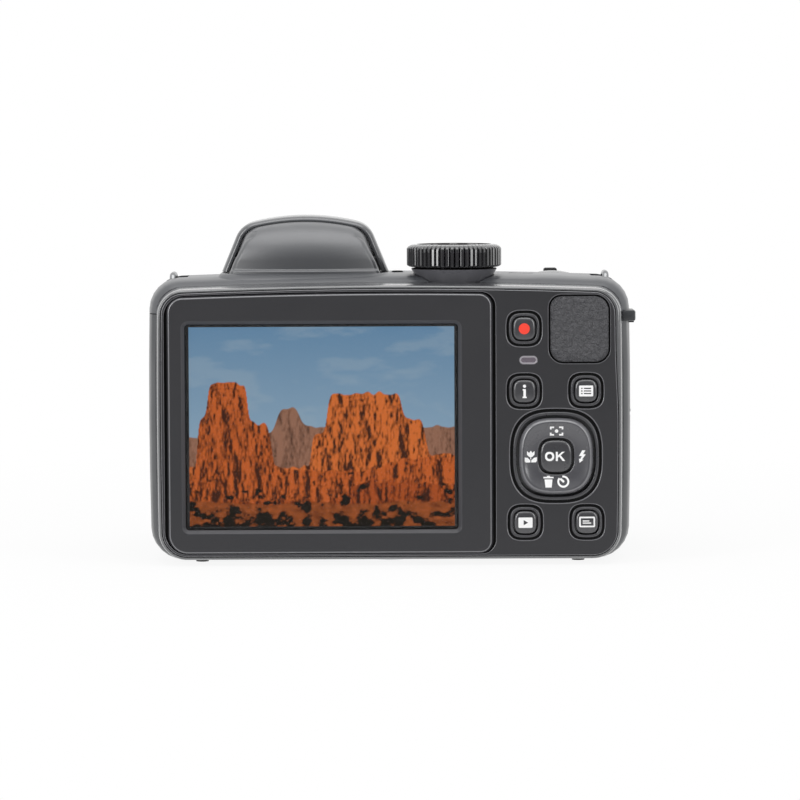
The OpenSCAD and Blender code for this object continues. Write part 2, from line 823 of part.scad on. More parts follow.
module zoom_lens() {
    color([0.6, 0.7, 0.75, 0.4])
        union() {
            lens_cyl(cell_r, mid_y0 + 1, mid_y0 + 2.9);
            lens_cyl(cell_r - 2.3, mid_y0 + 0.4, mid_y0 + 3.2);
        }
}

module front_tube() {
    color("#2b2b2d")
        difference() {
            lens_cyl(inner_r, inner_y0, inner_y1);
            lens_cyl(inner_bore, inner_y0 - 1, inner_y1 + 1);
        }
}

// Front ring with a stepped cone leading in to the front element
module front_ring() {
    steps = 4;
    color("#222224")
        difference() {
            lens_cyl(inner_r + 0.9, inner_y1, ring_y1);
            lens_cyl(iris_r, inner_y1 - 1, ring_y1 + 1);
            for (i = [1:steps])
                lens_cyl(iris_r + i * 1.1, inner_y1 + i * 0.8, ring_y1 + 1);
        }
}

module front_lens() {
    sag = 2.4;
    rim = iris_r - 0.4;
    ball = (rim * rim + sag * sag) / (2 * sag);
    color([0.5, 0.6, 0.7, 0.4])
        union() {
            lens_cyl(inner_bore - 0.1, inner_y1 - 2.4, inner_y1 - 0.1);
            intersection() {
                translate([lens_x, inner_y1 - 0.1 + sag - ball, lens_z])
                    sphere(ball, $fn = 96);
                lens_cyl(rim, inner_y1 - 0.2, inner_y1 + 4);
            }
        }
}

// Fixed drum behind the flash: the hump's arch turned about the hinge, so the cowl sweeps clear of it
module flash_drum() {
    half = arch(drum_hw, drum_h, hump_r - 1, 0, 5);
    rim = [for (p = half) if (p[1] >= hinge_up) [p[1] - hinge_up, p[0] - hump_x]];
    foot = drum_hw - hinge_up * tan(hump_lean);
    drum_r = drum_h - hinge_up;
    reach = cos(lift_max + 2);
    panel = [for (p = rim) [p[1], p[0] * reach]];
    color("#77797c")
        difference() {
            union() {
                translate([hump_x, hinge_y, hinge_z])
                    rotate([0, 90, 0])
                        rotate_extrude($fn = 96)
                            polygon(concat([[0, foot]], rim, [[0, -foot]]));
                intersection() {
                    hinge_cyl(drum_r - 0.05, -hump_hw, hump_hw);
                    translate([hump_x, 0, hinge_z])
                        slab(hinge_y - drum_r - 1, hinge_y - 0.1)
                            polygon(concat([[drum_hw, -hinge_up], [foot, 0]], panel,
                                [[-foot, 0], [-drum_hw, -hinge_up]]));
                }
            }
            box([-far, -far, -10], [far, far, hump_z - gap + 0.1]);
            hinge_cyl(pin_r + 0.02, -hump_hw, hump_hw);
            for (x = [-ear_x - ear_t, ear_x - gap])
                hinge_cyl(ear_r + gap, x, x + ear_t + gap);
        }
}

module flash_hinge_pin() {
    color("#b9bbbe")
        hinge_cyl(pin_r, -ear_x - ear_t + 0.2, ear_x + ear_t - 0.2);
}

module flash_cowl() {
    color("#3c3c3e")
        difference() {
            union() {
                difference() {
                    loft([for (s = cowl_rings)
                        lift(arch(hump_hw * s[1], hump_h * s[2], hump_r, hump_z), hinge_y + s[0] * cowl_l)]);
                    loft([for (i = [0:len(cowl_rings) - 1])
                        let (s = cowl_rings[i], y = i == 0 ? -1 : min(s[0] * cowl_l, cowl_l - 1.5))
                        lift(arch(hump_hw * s[1] - hump_side, hump_h * s[2] - hump_top + 0.2, hump_r - 1.1,
                            hump_z - 0.2), hinge_y + y)]);
                }
                hinge_cyl(ear_r, -ear_x - ear_t, -ear_x);
                hinge_cyl(ear_r, ear_x, ear_x + ear_t);
            }
            hinge_cyl(pin_r + run, -ear_x - ear_t + 0.1, ear_x + ear_t - 0.1);
            box([hump_x - flash_hw - 0.3, cowl_front - 4, flash_z0 - 0.2],
                [hump_x + flash_hw + 0.3, cowl_front + 1, flash_z1 + 0.2]);
        }
}

// Floor plate that closes the cowl from below
module flash_floor() {
    steps = [floor_y0, 0.57 * cowl_l, 0.805 * cowl_l, 0.935 * cowl_l];
    color("#2a2a2c")
        translate([0, 0, hump_z + 0.15])
            linear_extrude(0.8)
                polygon(concat(
                    [for (s = steps) [hump_x + floor_hw(s), hinge_y + s]],
                    [for (i = [len(steps) - 1:-1:0]) [hump_x - floor_hw(steps[i]), hinge_y + steps[i]]]));
}

// Half-width of the floor plate at a distance s from the hinge
function floor_hw(s) = let (share = lookup(s / cowl_l, [for (c = cowl_rings) [c[0], c[1]]]))
    hump_hw * share - hump_side - 0.95 * tan(hump_lean) - gap;

module flash_reflector() {
    shell = 0.6;
    color("#d4d6d8")
        difference() {
            box([hump_x - flash_hw + 0.4, cowl_front - 9, flash_z0 - 0.3],
                [hump_x + flash_hw - 0.4, cowl_front - 3, flash_z1]);
            translate([hump_x - flash_hw + 0.4 + shell, cowl_front - 4.8, flash_zm])
                rotate([0, 90, 0])
                    cylinder(r = 1.9, h = 2 * (flash_hw - 0.4 - shell));
            box([hump_x - flash_hw + 0.4 + shell, cowl_front - 4.8, flash_z0],
                [hump_x + flash_hw - 0.4 - shell, cowl_front, flash_z1 - 0.3]);
            translate([hump_x - flash_hw, tube_y, flash_zm])
                rotate([0, 90, 0])
                    cylinder(r = 1.05, h = 2 * flash_hw, $fn = 32);
        }
}

module flash_tube() {
    color([0.9, 0.9, 0.95, 0.5])
        translate([hump_x - flash_hw + 0.5, tube_y, flash_zm])
            rotate([0, 90, 0])
                cylinder(r = 1, h = 2 * (flash_hw - 0.5), $fn = 32);
}

// Ribbed diffuser in the front of the cowl
module flash_window() {
    rib = 0.55;
    color([0.85, 0.87, 0.9, 0.5])
        difference() {
            box([hump_x - flash_hw - 0.1, cowl_front - 2.6, flash_z0],
                [hump_x + flash_hw + 0.1, cowl_front - 0.2, flash_z1]);
            for (z = [flash_z0 + 0.4:2 * rib:flash_z1 - 0.4 - rib])
                box([hump_x - flash_hw + 0.4, cowl_front - 0.5, z],
                    [hump_x + flash_hw - 0.4, cowl_front + 1, z + rib]);
        }
}

// Fluted outline of the dial
function fluted(r, n, d) = [for (i = [0:4 * n - 1]) let (a = 90 * i / n)
    (r - d * (1 - abs(sin(n * a / 2)))) * [cos(a), sin(a)]];

module mode_dial() {
    color("#19191b")
        translate([dial_x, dial_y, 0]) {
            intersection() {
                translate([0, 0, dial_z0])
                    linear_extrude(dial_z1 - dial_z0)
                        polygon(fluted(dial_r, dial_flutes, flute_d));
                union() {
                    translate([0, 0, dial_z0])
                        cylinder(r = dial_r + 1, h = dial_z1 - dial_z0 - dial_chamfer + eps);
                    translate([0, 0, dial_z1 - dial_chamfer])
                        cylinder(r1 = dial_r, r2 = dial_r - 1.3, h = dial_chamfer);
                }
            }
            translate([0, 0, dial_z1 - eps])
                cylinder(r1 = dial_r - 2.6, r2 = dial_r - 3.4, h = 0.4);
            translate([0, 0, collar_foot_z - 1.8])
                cylinder(r = shaft_r, h = dial_z0 - collar_foot_z + 2, $fn = 48);
            translate([0, 0, collar_foot_z - 1.8])
                cylinder(r = 5.6, h = 1.2, $fn = 48);
        }
}

module dial_collar() {
    color("#141416")
        translate([dial_x, dial_y, 0])
            difference() {
                union() {
                    translate([0, 0, collar_z0])
                        cylinder(r1 = collar_r0, r2 = collar_r1, h = collar_z1 - collar_z0);
                    translate([0, 0, collar_foot_z])
                        cylinder(r = collar_foot_r, h = collar_z0 - collar_foot_z + eps);
                }
                translate([0, 0, collar_foot_z - 1])
                    cylinder(r = shaft_r + run, h = 8, $fn = 48);
            }
}

module shutter_button() {
    ball = 16;
    color("#9a9ca0")
        translate([shutter_x, shutter_y, 0]) {
            intersection() {
                translate([0, 0, grip_z - wall - gap])
                    cylinder(r = shutter_r, h = shutter_top - grip_z + wall + gap);
                translate([0, 0, shutter_top - ball])
                    sphere(ball, $fn = 96);
            }
            translate([0, 0, shutter_foot])
                cylinder(r = shutter_r + 0.7, h = 0.8 + eps);
        }
}

module zoom_lever() {
    color("#2a2a2c")
        translate([shutter_x, shutter_y, 0])
            difference() {
                union() {
                    translate([0, 0, grip_z + gap])
                        cylinder(r = lever_r, h = 1.3);
                    translate([0, 0, grip_z - wall + 0.3])
                        cylinder(r = lever_hub, h = wall + 0.2);
                    translate([-2.2, lever_r - 1.2, grip_z + gap])
                        cube([4.4, 3.6, 1.9]);
                }
                translate([0, 0, grip_z - 4])
                    cylinder(r = lever_bore, h = 10);
            }
}

// Round push button of the top deck
module deck_key(at, r, top) {
    deck = body_h - deck_crown * pow(at[0] / body_hw, 2);
    translate([at[0], at[1], 0]) {
        translate([0, 0, deck - wall - gap - 0.7])
            cylinder(r = r, h = top - deck + wall + gap + 0.7, $fn = 48);
        translate([0, 0, deck - wall - gap - 0.7])
            cylinder(r = r + 0.8, h = 0.7, $fn = 48);
    }
}

module power_button() {
    color("#8c8e92")
        deck_key(power_at, power_r, body_h - 0.2);
}

module flash_button() {
    color("#2a2a2c")
        deck_key(flash_key_at, flash_key_r, body_h + 0.75);
}

module top_board() {
    color("#2f6b45")
        box([shutter_x - 5.6, shutter_y - 7, top_board_z - 1], [shutter_x + 6.2, shutter_y + 6, top_board_z]);
}

// Rear push button with a retaining flange behind the cover
module rear_key(at) {
    slab(rear_face - cap_proud + 0.25, flange_y + flange_t)
        pill_at(at, cap_w, cap_h, cap_r);
    slab(rear_face - cap_proud, rear_face)
        pill_at(at, cap_w - 0.5, cap_h - 0.5, cap_r - 0.2);
    slab(flange_y, flange_y + flange_t)
        pill_at(at, cap_w + 1.9, cap_h + 1.9, cap_r);
}

module record_button() {
    dot_r = 1.4;
    color("#5a5a5c")
        rear_key(record_at);
    color("#f84a38")
        slab(rear_face - cap_proud - 0.05, rear_face)
            translate(record_at)
                circle(dot_r);
}

module info_button() {
    color("#5a5a5c")
        rear_key(info_at);
}

module menu_button() {
    color("#5a5a5c")
        rear_key(menu_at);
}

module play_button() {
    color("#5a5a5c")
        rear_key(play_at);
}

module display_button() {
    color("#5a5a5c")
        rear_key(display_at);
}

module nav_pad() {
    color("#4a4a4c")
        difference() {
            union() {
                slab(rear_face - 0.3, pad_back)
                    pill_at(pad_at, pad_w, pad_h, pad_r);
                hull() {
                    slab(rear_face - 0.3, rear_face)
                        pill_at(pad_at, pad_w - ledge, pad_h - ledge, pad_r);
                    slab(rear_face - pad_proud, rear_face)
                        pill_at(pad_at, pad_w - 1.9, pad_h - 1.9, pad_r - 0.8);
                }
                slab(pad_back - 0.3, pad_back)
                    pill_at(pad_at, pad_w + 2.2, pad_h + 2, pad_r + 0.5);
            }
            slab(rear_face - 3, pad_back + 1)
                pill_at(pad_at, set_w + 2 * set_gap, set_h + 2 * set_gap, set_r + set_gap);
            slab(set_step, pad_back + 1)
                pill_at(pad_at, set_w + 2 * set_flange + 1.2, set_h + 2 * set_flange + 1.2, set_r + 0.6);
        }
}

module nav_rocker() {
    color("#c0c2c4")
        translate([pad_at[0], rocker_y, pad_at[1]])
            rotate([-90, 0, 0])
                difference() {
                    cylinder(r = rocker_ro, h = rocker_t);
                    translate([0, 0, -1])
                        cylinder(r = rocker_ri, h = 3);
                }
}

module set_button() {
    color("#5a5a5c")
        union() {
            slab(rear_face - pad_proud + 0.35, pad_back + 0.3)
                pill_at(pad_at, set_w, set_h, set_r);
            slab(rear_face - pad_proud + 0.1, rear_face)
                pill_at(pad_at, set_w - 0.5, set_h - 0.5, set_r - 0.2);
            slab(set_step + 0.6, set_step + 1.2)
                pill_at(pad_at, set_w + 2 * set_flange, set_h + 2 * set_flange, set_r);
        }
}

// Side flap cut from the body's own form, hinged on a knuckle along its lower edge
module port_door() {
    color("#303032")
        difference() {
            union() {
                intersection() {
                    difference() {
                        body_form(0, shell_y, front_y);
                        body_form(wall - 0.2, shell_y - 1, front_y - wall);
                    }
                    box([body_hw - 4, door_y0, door_z0], [body_hw + 1, door_y1, door_z1]);
                }
                translate([knuckle_x, door_y0, door_z0])
                    rotate([-90, 0, 0])
                        cylinder(r = knuckle_r, h = door_y1 - door_y0, $fn = 32);
                box([body_hw - 1, door_y0, door_z1 - 2.1], [body_hw + 0.7, door_y0 + 2.9, door_z1]);
            }
            translate([knuckle_x, door_y0 - 1, door_z0])
                rotate([-90, 0, 0])
                    cylinder(r = pin2_r + pin2_run, h = door_y1 - door_y0 + 2, $fn = 32);
        }
}

module port_door_pin() {
    color("#b9bbbe")
        translate([knuckle_x, door_y0 - 1.7, door_z0])
            rotate([-90, 0, 0])
                cylinder(r = pin2_r, h = door_y1 - door_y0 + 3.4, $fn = 32);
}

module port_block() {
    slot_d = 4;
    color("#1b1b1d")
        difference() {
            box([port_x1 - 8, door_y0 + 1.5, door_z0 + 1.8], [port_x1, door_y1 - 1.5, door_z1 - 2]);
            box([port_x1 - slot_d, door_y0 + 4, door_z0 + 3.4], [port_x1 + 1, door_y0 + 7.4, door_z0 + 10.4]);
            box([port_x1 - slot_d, door_y0 + 3.6, door_z0 + 12], [port_x1 + 1, door_y0 + 8, door_z0 + 18.4]);
        }
}

// Hatch in the base of the grip, cut from the shell and hinged along Y
module battery_door() {
    color("#2d2d2f")
        difference() {
            union() {
                welded()
                    intersection() {
                        difference() {
                            shell_outside();
                            body_form(wall - 0.2, shell_y - 1, front_y - wall);
                            grip_form(wall - 0.2, base_z + wall - 0.2, grip_z - wall);
                        }
                        box([hatch_plate_x, hatch_y0, -1], [body_hw + 1, hatch_y1, hatch_top]);
                    }
                translate([hatch_x, hatch_k0, hatch_z])
                    rotate([-90, 0, 0])
                        cylinder(r = 1, h = hatch_k1 - hatch_k0, $fn = 32);
                box([hatch_x, hatch_k0, hatch_z - 0.8], [hatch_plate_x + 1, hatch_k1, hatch_z + 0.5]);
            }
            translate([hatch_x, hatch_k0 - 1, hatch_z])
                rotate([-90, 0, 0])
                    cylinder(r = pin2_r + pin2_run, h = hatch_k1 - hatch_k0 + 2, $fn = 32);
            box([latch_x - 0.4, latch_y - gap, -1],
                [latch_x + latch_w + latch_travel + 0.6, latch_y + latch_h + gap, base_z + 0.95]);
        }
}

module battery_door_pin() {
    color("#b9bbbe")
        translate([hatch_x, hatch_k0 - 1.8, hatch_z])
            rotate([-90, 0, 0])
                cylinder(r = pin2_r, h = hatch_k1 - hatch_k0 + 3.6, $fn = 32);
}

module battery_latch() {
    ridge = 0.5;
    color("#6c6e70")
        difference() {
            box([latch_x, latch_y, base_z - 0.15], [latch_x + latch_w, latch_y + latch_h, base_z + 0.65]);
            for (x = [latch_x + 1:1.2:latch_x + latch_w - 1])
                box([x, latch_y + 0.8, base_z - 1], [x + ridge, latch_y + latch_h - 0.8, base_z + 0.1]);
        }
}

module battery() {
    color("#3a3c40")
        translate([(cell_x0 + cell_x1) / 2, (cell_y0 + cell_y1) / 2, cell_z0])
            linear_extrude(cell_z1 - cell_z0)
                pill(cell_w, cell_l, 1.5);
}

module battery_holder() {
    color("#202022")
        union() {
            difference() {
                box([cell_x0 - holder_t, cell_y0 - holder_t, cell_z0 + 3],
                    [cell_x1 + holder_t, cell_y1 + 1.2, cell_z1 + 1.6]);
                box([cell_x0 - gap, cell_y0 - gap, 0], [cell_x1 + gap, cell_y1 + gap, cell_z1 + gap]);
            }
            for (y = [-5, 4])
                translate([shutter_x + 3.3, shutter_y + y, cell_z1 + 1.5])
                    cylinder(r = 1.5, h = top_board_z - 1 - cell_z1 - 1.5, $fn = 32);
        }
}

module flash_capacitor() {
    color("#3c4652")
        translate([cap_can_at[0], cap_can_at[1], boss_z0 + boss_h])
            cylinder(r = cap_can_r, h = cap_can_h);
}

module af_lamp() {
    color([0.8, 0.3, 0.2, 0.6])
        translate([af_at[0], front_y - 2.6, af_at[1]])
            rotate([-90, 0, 0])
                cylinder(r = af_r, h = 2.8, $fn = 48);
}

module tripod_socket() {
    color("#c8cacd")
        difference() {
            union() {
                cylinder(r = socket_r, h = 4);
                cylinder(r = socket_neck, h = socket_h);
            }
            translate([0, 0, -1])
                cylinder(r = thread_r, h = thread_l + 1);
        }
}

module feet() {
    color("#1a1a1a")
        for (f = feet_at)
            translate([f[0], f[1], 0])
                cylinder(r = foot_r, h = base_z + 0.4, $fn = 32);
}

// One wire loop: two legs, two bends and a bar
module strap_loop(x) {
    bend_z = lug_top - lug_r - lug_bend;
    translate([x, lug_y, 0]) {
        for (s = [-1, 1]) {
            translate([0, s * lug_half, split_z + 0.5])
                cylinder(r = lug_r, h = bend_z - split_z - 0.5, $fn = 32);
            translate([0, s * (lug_half - lug_bend), bend_z])
                rotate([0, -90, 0])
                    rotate([0, 0, s > 0 ? 0 : -90])
                        rotate_extrude(angle = 90, $fn = 48)
                            translate([lug_bend, 0])
                                circle(lug_r, $fn = 32);
        }
        translate([0, lug_bend - lug_half, bend_z + lug_bend])
            rotate([-90, 0, 0])
                cylinder(r = lug_r, h = 2 * (lug_half - lug_bend), $fn = 32);
    }
}

module strap_lugs() {
    color("#c2c4c6")
        for (x = [-lug_x, lug_x])
            strap_loop(x);
}

module case_screws() {
    color("#8f9194")
        for (s = screws_at)
            translate([s[0], s[1], 0])
                difference() {
                    union() {
                        translate([0, 0, base_z + 0.3])
                            cylinder(r = screw_head, h = 0.7, $fn = 32);
                        translate([0, 0, base_z + 0.3])
                            cylinder(r = screw_r, h = 4.2, $fn = 32);
                    }
                    for (a = [0, 90])
                        rotate([0, 0, a])
                            translate([-1, -0.2, 0])
                                cube([2, 0.4, base_z + 0.6]);
                }
}

rear_cover();
lcd_bezel();
lcd_window();
lcd_panel();
lcd_tray();
thumb_rest();
status_lamp();
keypad_mat();
key_board();
main_board();
front_cover();
top_cover();
grip_rubber();
lens_barrel();
barrel_sleeve();
sensor_plate();
image_sensor();
relay_cell();
middle_tube();
zoom_lens();
front_tube();
front_ring();
front_lens();
flash_drum();
flash_hinge_pin();
flash_cowl();
flash_floor();
flash_reflector();
flash_tube();
flash_window();
mode_dial();
dial_collar();
shutter_button();
zoom_lever();
power_button();
flash_button();
top_board();
record_button();
info_button();
menu_button();
play_button();
display_button();
nav_pad();
nav_rocker();
set_button();
port_door();
port_door_pin();
port_block();
battery_door();
battery_door_pin();
battery_latch();
battery();
battery_holder();
flash_capacitor();
af_lamp();
tripod_socket();
feet();
strap_lugs();
case_screws();
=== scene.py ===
# %% [markdown]
# # A bridge camera, seen from behind
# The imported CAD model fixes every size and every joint. This lesson dresses it: the moulded rear housing,
# the buttons, the screen and the flash hump become smooth surfaces worked out with numpy, and every part
# gets the finish of its real material. Lengths are written in millimetres and turned to metres at the end.

# %% Load the frame
import json
import math
from contextlib import contextmanager

import bmesh
import bpy
import numpy as np
from mathutils import Matrix, Vector

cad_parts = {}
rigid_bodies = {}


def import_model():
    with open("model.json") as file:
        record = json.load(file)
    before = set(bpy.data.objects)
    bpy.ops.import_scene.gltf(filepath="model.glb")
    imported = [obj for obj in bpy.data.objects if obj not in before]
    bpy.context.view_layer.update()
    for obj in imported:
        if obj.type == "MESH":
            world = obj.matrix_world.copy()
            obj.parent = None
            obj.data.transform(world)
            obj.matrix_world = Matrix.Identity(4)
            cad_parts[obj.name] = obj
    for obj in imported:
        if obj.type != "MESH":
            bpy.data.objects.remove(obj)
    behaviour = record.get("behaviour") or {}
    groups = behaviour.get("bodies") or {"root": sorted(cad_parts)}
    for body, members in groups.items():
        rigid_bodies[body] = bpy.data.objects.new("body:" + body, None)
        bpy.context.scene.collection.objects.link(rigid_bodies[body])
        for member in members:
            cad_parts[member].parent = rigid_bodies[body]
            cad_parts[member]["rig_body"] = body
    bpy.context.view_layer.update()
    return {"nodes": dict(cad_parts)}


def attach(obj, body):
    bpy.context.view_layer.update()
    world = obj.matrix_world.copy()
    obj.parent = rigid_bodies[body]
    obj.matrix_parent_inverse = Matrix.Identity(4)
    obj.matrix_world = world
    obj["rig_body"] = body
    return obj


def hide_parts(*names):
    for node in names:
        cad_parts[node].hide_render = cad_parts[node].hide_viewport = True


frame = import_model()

cad = frame["nodes"]
MM = 0.001

# %% [markdown]
# ## From arrays to meshes
# A surface is an array of points, row by row. It could be modelled by hand with extrusions and bevels, but
# a grid keeps every fillet the same width all the way round and can be checked by reading its numbers.
# Flat panels with holes in them are the one thing a grid does badly, so those are filled between loops.


# %% Grids, fills and pieces
MERGE, SLIVER = 0.002 * MM, 0.0005 * MM


@contextmanager
def reworked(mesh):
    """Working copy of a mesh for bmesh, written back when the block ends."""
    work = bmesh.new()
    work.from_mesh(mesh)
    yield work
    work.to_mesh(mesh)
    work.free()


def grid(points, finish=0, wrap=True):
    """Quads between neighbouring points of rows x columns x 3; wrap joins the last column to the first.

    The finish is one number for the whole grid, or one for each strip between two rows."""
    points = np.asarray(points)
    rows, columns = points.shape[:2]
    here = np.arange(rows * columns).reshape(rows, columns)
    beside = np.roll(here, -1, axis=1) if wrap else here[:, 1:]
    here = here if wrap else here[:, :-1]
    quads = np.stack([here[:-1], beside[:-1], beside[1:], here[1:]], axis=-1).reshape(-1, 4)
    return points.reshape(-1, 3), quads, np.repeat(np.broadcast_to(finish, rows - 1), here.shape[1])


def flat(outline, y):
    """Outline in x and z, set at depth y."""
    return np.column_stack([outline[:, 0], np.full(len(outline), y), outline[:, 1]])


def fill(loops, y, finish=0):
    """Flat sheet at depth y between closed loops: triangles that join the outline to its holes."""
    points = flat(np.concatenate(loops), y)
    counts = np.array([len(loop) for loop in loops])
    first = np.cumsum(counts) - counts
    after = np.arange(1, len(points) + 1)
    after[first + counts - 1] = first
    sheet = bpy.data.meshes.new("fill")
    sheet.from_pydata(points, np.column_stack([np.arange(len(points)), after]), [])
    with reworked(sheet) as work:
        bmesh.ops.triangle_fill(work, use_beauty=True, edges=work.edges[:], normal=(0, -1, 0))
    corners = np.empty(3 * len(sheet.polygons), dtype=np.int32)
    sheet.loops.foreach_get("vertex_index", corners)
    bpy.data.meshes.remove(sheet)
    return points, corners.reshape(-1, 3), finish


def linked(made):
    """Puts a new object in the scene."""
    bpy.context.scene.collection.objects.link(made)
    return made


def shown(name, mesh, finishes, sharp):
    """Object of a mesh with its finishes, smooth where two faces meet at less than an angle."""
    mesh.shade_smooth()
    mesh.set_sharp_from_angle(angle=math.radians(sharp))
    for finish in finishes:
        mesh.materials.append(finish)
    return linked(bpy.data.objects.new(name, mesh))


def piece(name, patches, finishes, body, stands_for=(), sharp=40):
    """Joins patches into one closed mesh, merges shared points and turns the faces outwards."""
    counts = np.array([len(points) for points, _, _ in patches])
    first = np.cumsum(counts) - counts
    faces = [face for (_, cells, _), n in zip(patches, first) for face in (cells + n).tolist()]
    kinds = np.concatenate([np.broadcast_to(kind, len(cells)) for _, cells, kind in patches])
    mesh = bpy.data.meshes.new(name)
    mesh.from_pydata(np.concatenate([points for points, _, _ in patches]) * MM, [], faces)
    mesh.polygons.foreach_set("material_index", kinds.astype(np.int32))
    with reworked(mesh) as work:
        bmesh.ops.remove_doubles(work, verts=work.verts[:], dist=MERGE)
        bmesh.ops.dissolve_degenerate(work, edges=work.edges[:], dist=SLIVER)
        bmesh.ops.recalc_face_normals(work, faces=work.faces[:])
    made = shown(name, mesh, finishes, sharp)
    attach(made, body)
    if stands_for:
        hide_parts(*stands_for)
    print(f"{name}: {len(mesh.vertices)} points, {len(mesh.polygons)} faces")
    return made


# %% [markdown]
# ## Finishes
# Almost everything outside is moulded ABS, and what sets one part from the next is the tool it came out of:
# spark-eroded steel gives the matt rear panels, a polished edge gives the bright band round them. So one
# recipe makes them all: two close colours that drift, a roughness that drifts with them and a fine bump.
# Sizes of patterns are in millimetres. Grain finer than a pixel of the picture is drawn a little coarser.


# %% Colour, nodes and the moulded recipe
def srgb(code):
    """sRGB hex to linear light: c / 12.92 for dark values, ((c + 0.055) / 1.055) ** 2.4 for the rest."""
    c = np.array([int(code[i:i + 2], 16) for i in (1, 3, 5)]) / 255
    return (*np.where(c <= 0.04045, c / 12.92, ((c + 0.055) / 1.055) ** 2.4).tolist(), 1.0)


def add(tree, kind, inputs=None, **settings):
    """Adds a node; settings are its properties, inputs are values or (node, output) pairs to link."""
    made = tree.nodes.new("ShaderNode" + kind)
    for key, value in settings.items():
        setattr(made, key, value)
    for key, value in (inputs or {}).items():
        if isinstance(value, tuple) and isinstance(value[0], bpy.types.Node):
            tree.links.new(value[0].outputs[value[1]], made.inputs[key])
        else:
            made.inputs[key].default_value = value
    return made


def bare_tree(owner):
    """Node tree of a new material or world, without the nodes it came with."""
    owner.use_nodes = True
    owner.node_tree.nodes.clear()
    return owner.node_tree


def noise(tree, place, size, detail):
    """Noise with features of a size in millimetres."""
    return add(tree, "TexNoise", {"Vector": place, "Scale": 1 / (size * MM), "Detail": detail}), "Fac"


def ramp(tree, value, low, high, start, end):
    """Straight line from start, where the value is low, to end, where it is high."""
    return add(tree, "MapRange", {"Value": value, 1: low, 2: high, 3: start, 4: end}), "Result"


def coat(weight, rough, ior=1.5):
    """Clear lacquer over the colour."""
    return {"Coat Weight": weight, "Coat Roughness": rough, "Coat IOR": ior}


def moulded(name, colour, shade, rough, drift=0.05, grain=0.4, relief=0.004, patch=7.0, pebble=0.0, **shader):
    """Colour and roughness drift over patches some millimetres wide; a noise of the grain's size is the bump.

    A pebble size puts rounded cells under it: the height falls with the distance from each cell's middle."""
    look = bpy.data.materials.new(name)
    tree = bare_tree(look)
    place = (add(tree, "TexCoord"), "Object")
    broad, tooth = noise(tree, place, patch, 4.0), noise(tree, place, grain, 3.0)
    tone = add(tree, "Mix", {0: broad, 6: srgb(colour), 7: srgb(shade)}, data_type="RGBA")
    gloss = ramp(tree, broad, 0.3, 0.7, rough - drift, rough + drift)
    if pebble:
        cells = add(tree, "TexVoronoi", {"Vector": place, "Scale": 1 / (pebble * MM)}, feature="SMOOTH_F1")
        tooth = (add(tree, "Math", {0: tooth, 1: (cells, "Distance")}, operation="SUBTRACT"), "Value")
    bump = add(tree, "Bump", {"Height": tooth, "Strength": 1.0, "Distance": relief * MM})
    body = add(tree, "BsdfPrincipled", {"Base Color": (tone, 2), "Roughness": gloss,
                                        "Normal": (bump, "Normal"), **shader})
    add(tree, "OutputMaterial", {"Surface": (body, "BSDF")})
    return look


DULL = {"Specular IOR Level": 0.2}
# ABS from a spark-eroded tool: matt, with an even fine tooth
panel_abs = moulded("abs_moulded_fine_matt", "#2E2E31", "#28282B", 0.46, grain=0.35)
# the same ABS on the surround, a shade lighter
surround_abs = moulded("abs_moulded_surround", "#303033", "#2A2A2D", 0.44, grain=0.35)
# polished edge with a clear lacquer: nearly a mirror when seen along it; its grey, lighter than the face of
# the same moulding, is a painted sheen
edge_sheen_abs = moulded("abs_lacquered_edge_painted_sheen", "#5C5D5F", "#545557", 0.2, drift=0.03, relief=0.001,
                   **coat(1.0, 0.1, 1.8))
# shells of the body: satin ABS
shell_abs = moulded("abs_moulded_satin_shell", "#3E4044", "#36383C", 0.36, grain=0.3, relief=0.003,
                    **coat(1.0, 0.22, 1.75))
# the drum in the hump: softer still, so the light from above fades slowly down its curve
drum_abs = moulded("abs_moulded_satin_drum", "#404246", "#383A3E", 0.42, grain=0.3, relief=0.003,
                   **coat(1.0, 0.38, 1.75))
# the deck: the same ABS from a duller tool, so it doesn't mirror the white room where it is seen along
deck_abs = moulded("abs_moulded_satin_deck", "#44464A", "#3C3E42", 0.44, grain=0.3, relief=0.003,
                   **coat(0.6, 0.3, 1.6))
# the lower shell and its doors: the same ABS, less polished
low_abs = moulded("abs_moulded_lower_shell", "#3A3C3F", "#323437", 0.44, grain=0.3, **coat(0.6, 0.28))
door_abs = moulded("abs_moulded_door", "#303235", "#2A2C2F", 0.46, grain=0.3, **coat(0.3, 0.3))
# painted highlight: the fillets of the same mouldings get a lighter, glossier copy of their ABS, so each edge
# shows as a light line
edge_highlight_abs = moulded("abs_edge_painted_highlight", "#6A6A6E", "#5E5E62", 0.28, drift=0.02, relief=0.0005,
                     **coat(1.0, 0.15, 1.7))
# painted light: the screen surround's bevel in a lighter copy of the surround's ABS, because the bevel
# catches the light
bevel_light_abs = moulded("abs_bevel_painted_light", "#3E3E42", "#38383C", 0.36, drift=0.02, relief=0.001)
# the raised collars: smoother than the face, and a lighter grey that is a painted sheen
collar_sheen_abs = moulded("abs_moulded_collar_painted_sheen", "#3C3C40", "#343437", 0.28, drift=0.03, relief=0.001,
                   **coat(0.8, 0.15))
# painted shade: near-black on the walls and floors of the grooves, where shade falls
groove_shade_abs = moulded("abs_groove_painted_shade", "#0B0B0C", "#101011", 0.6, relief=0.002, **DULL)
# caps of the buttons: satin ABS that fingers have smoothed
cap_abs = moulded("abs_moulded_key_cap", "#3C3C40", "#343437", 0.26, relief=0.001, **coat(1.0, 0.16, 1.6))
pad_abs = moulded("abs_moulded_pad", "#4A4A4F", "#424246", 0.26, relief=0.001, **coat(1.0, 0.16, 1.7))
# matt black that stays dark even when seen along: the flash button, top and underside of the dial
matt_abs = moulded("abs_moulded_matt_black", "#171415", "#1D191A", 0.75, **DULL)
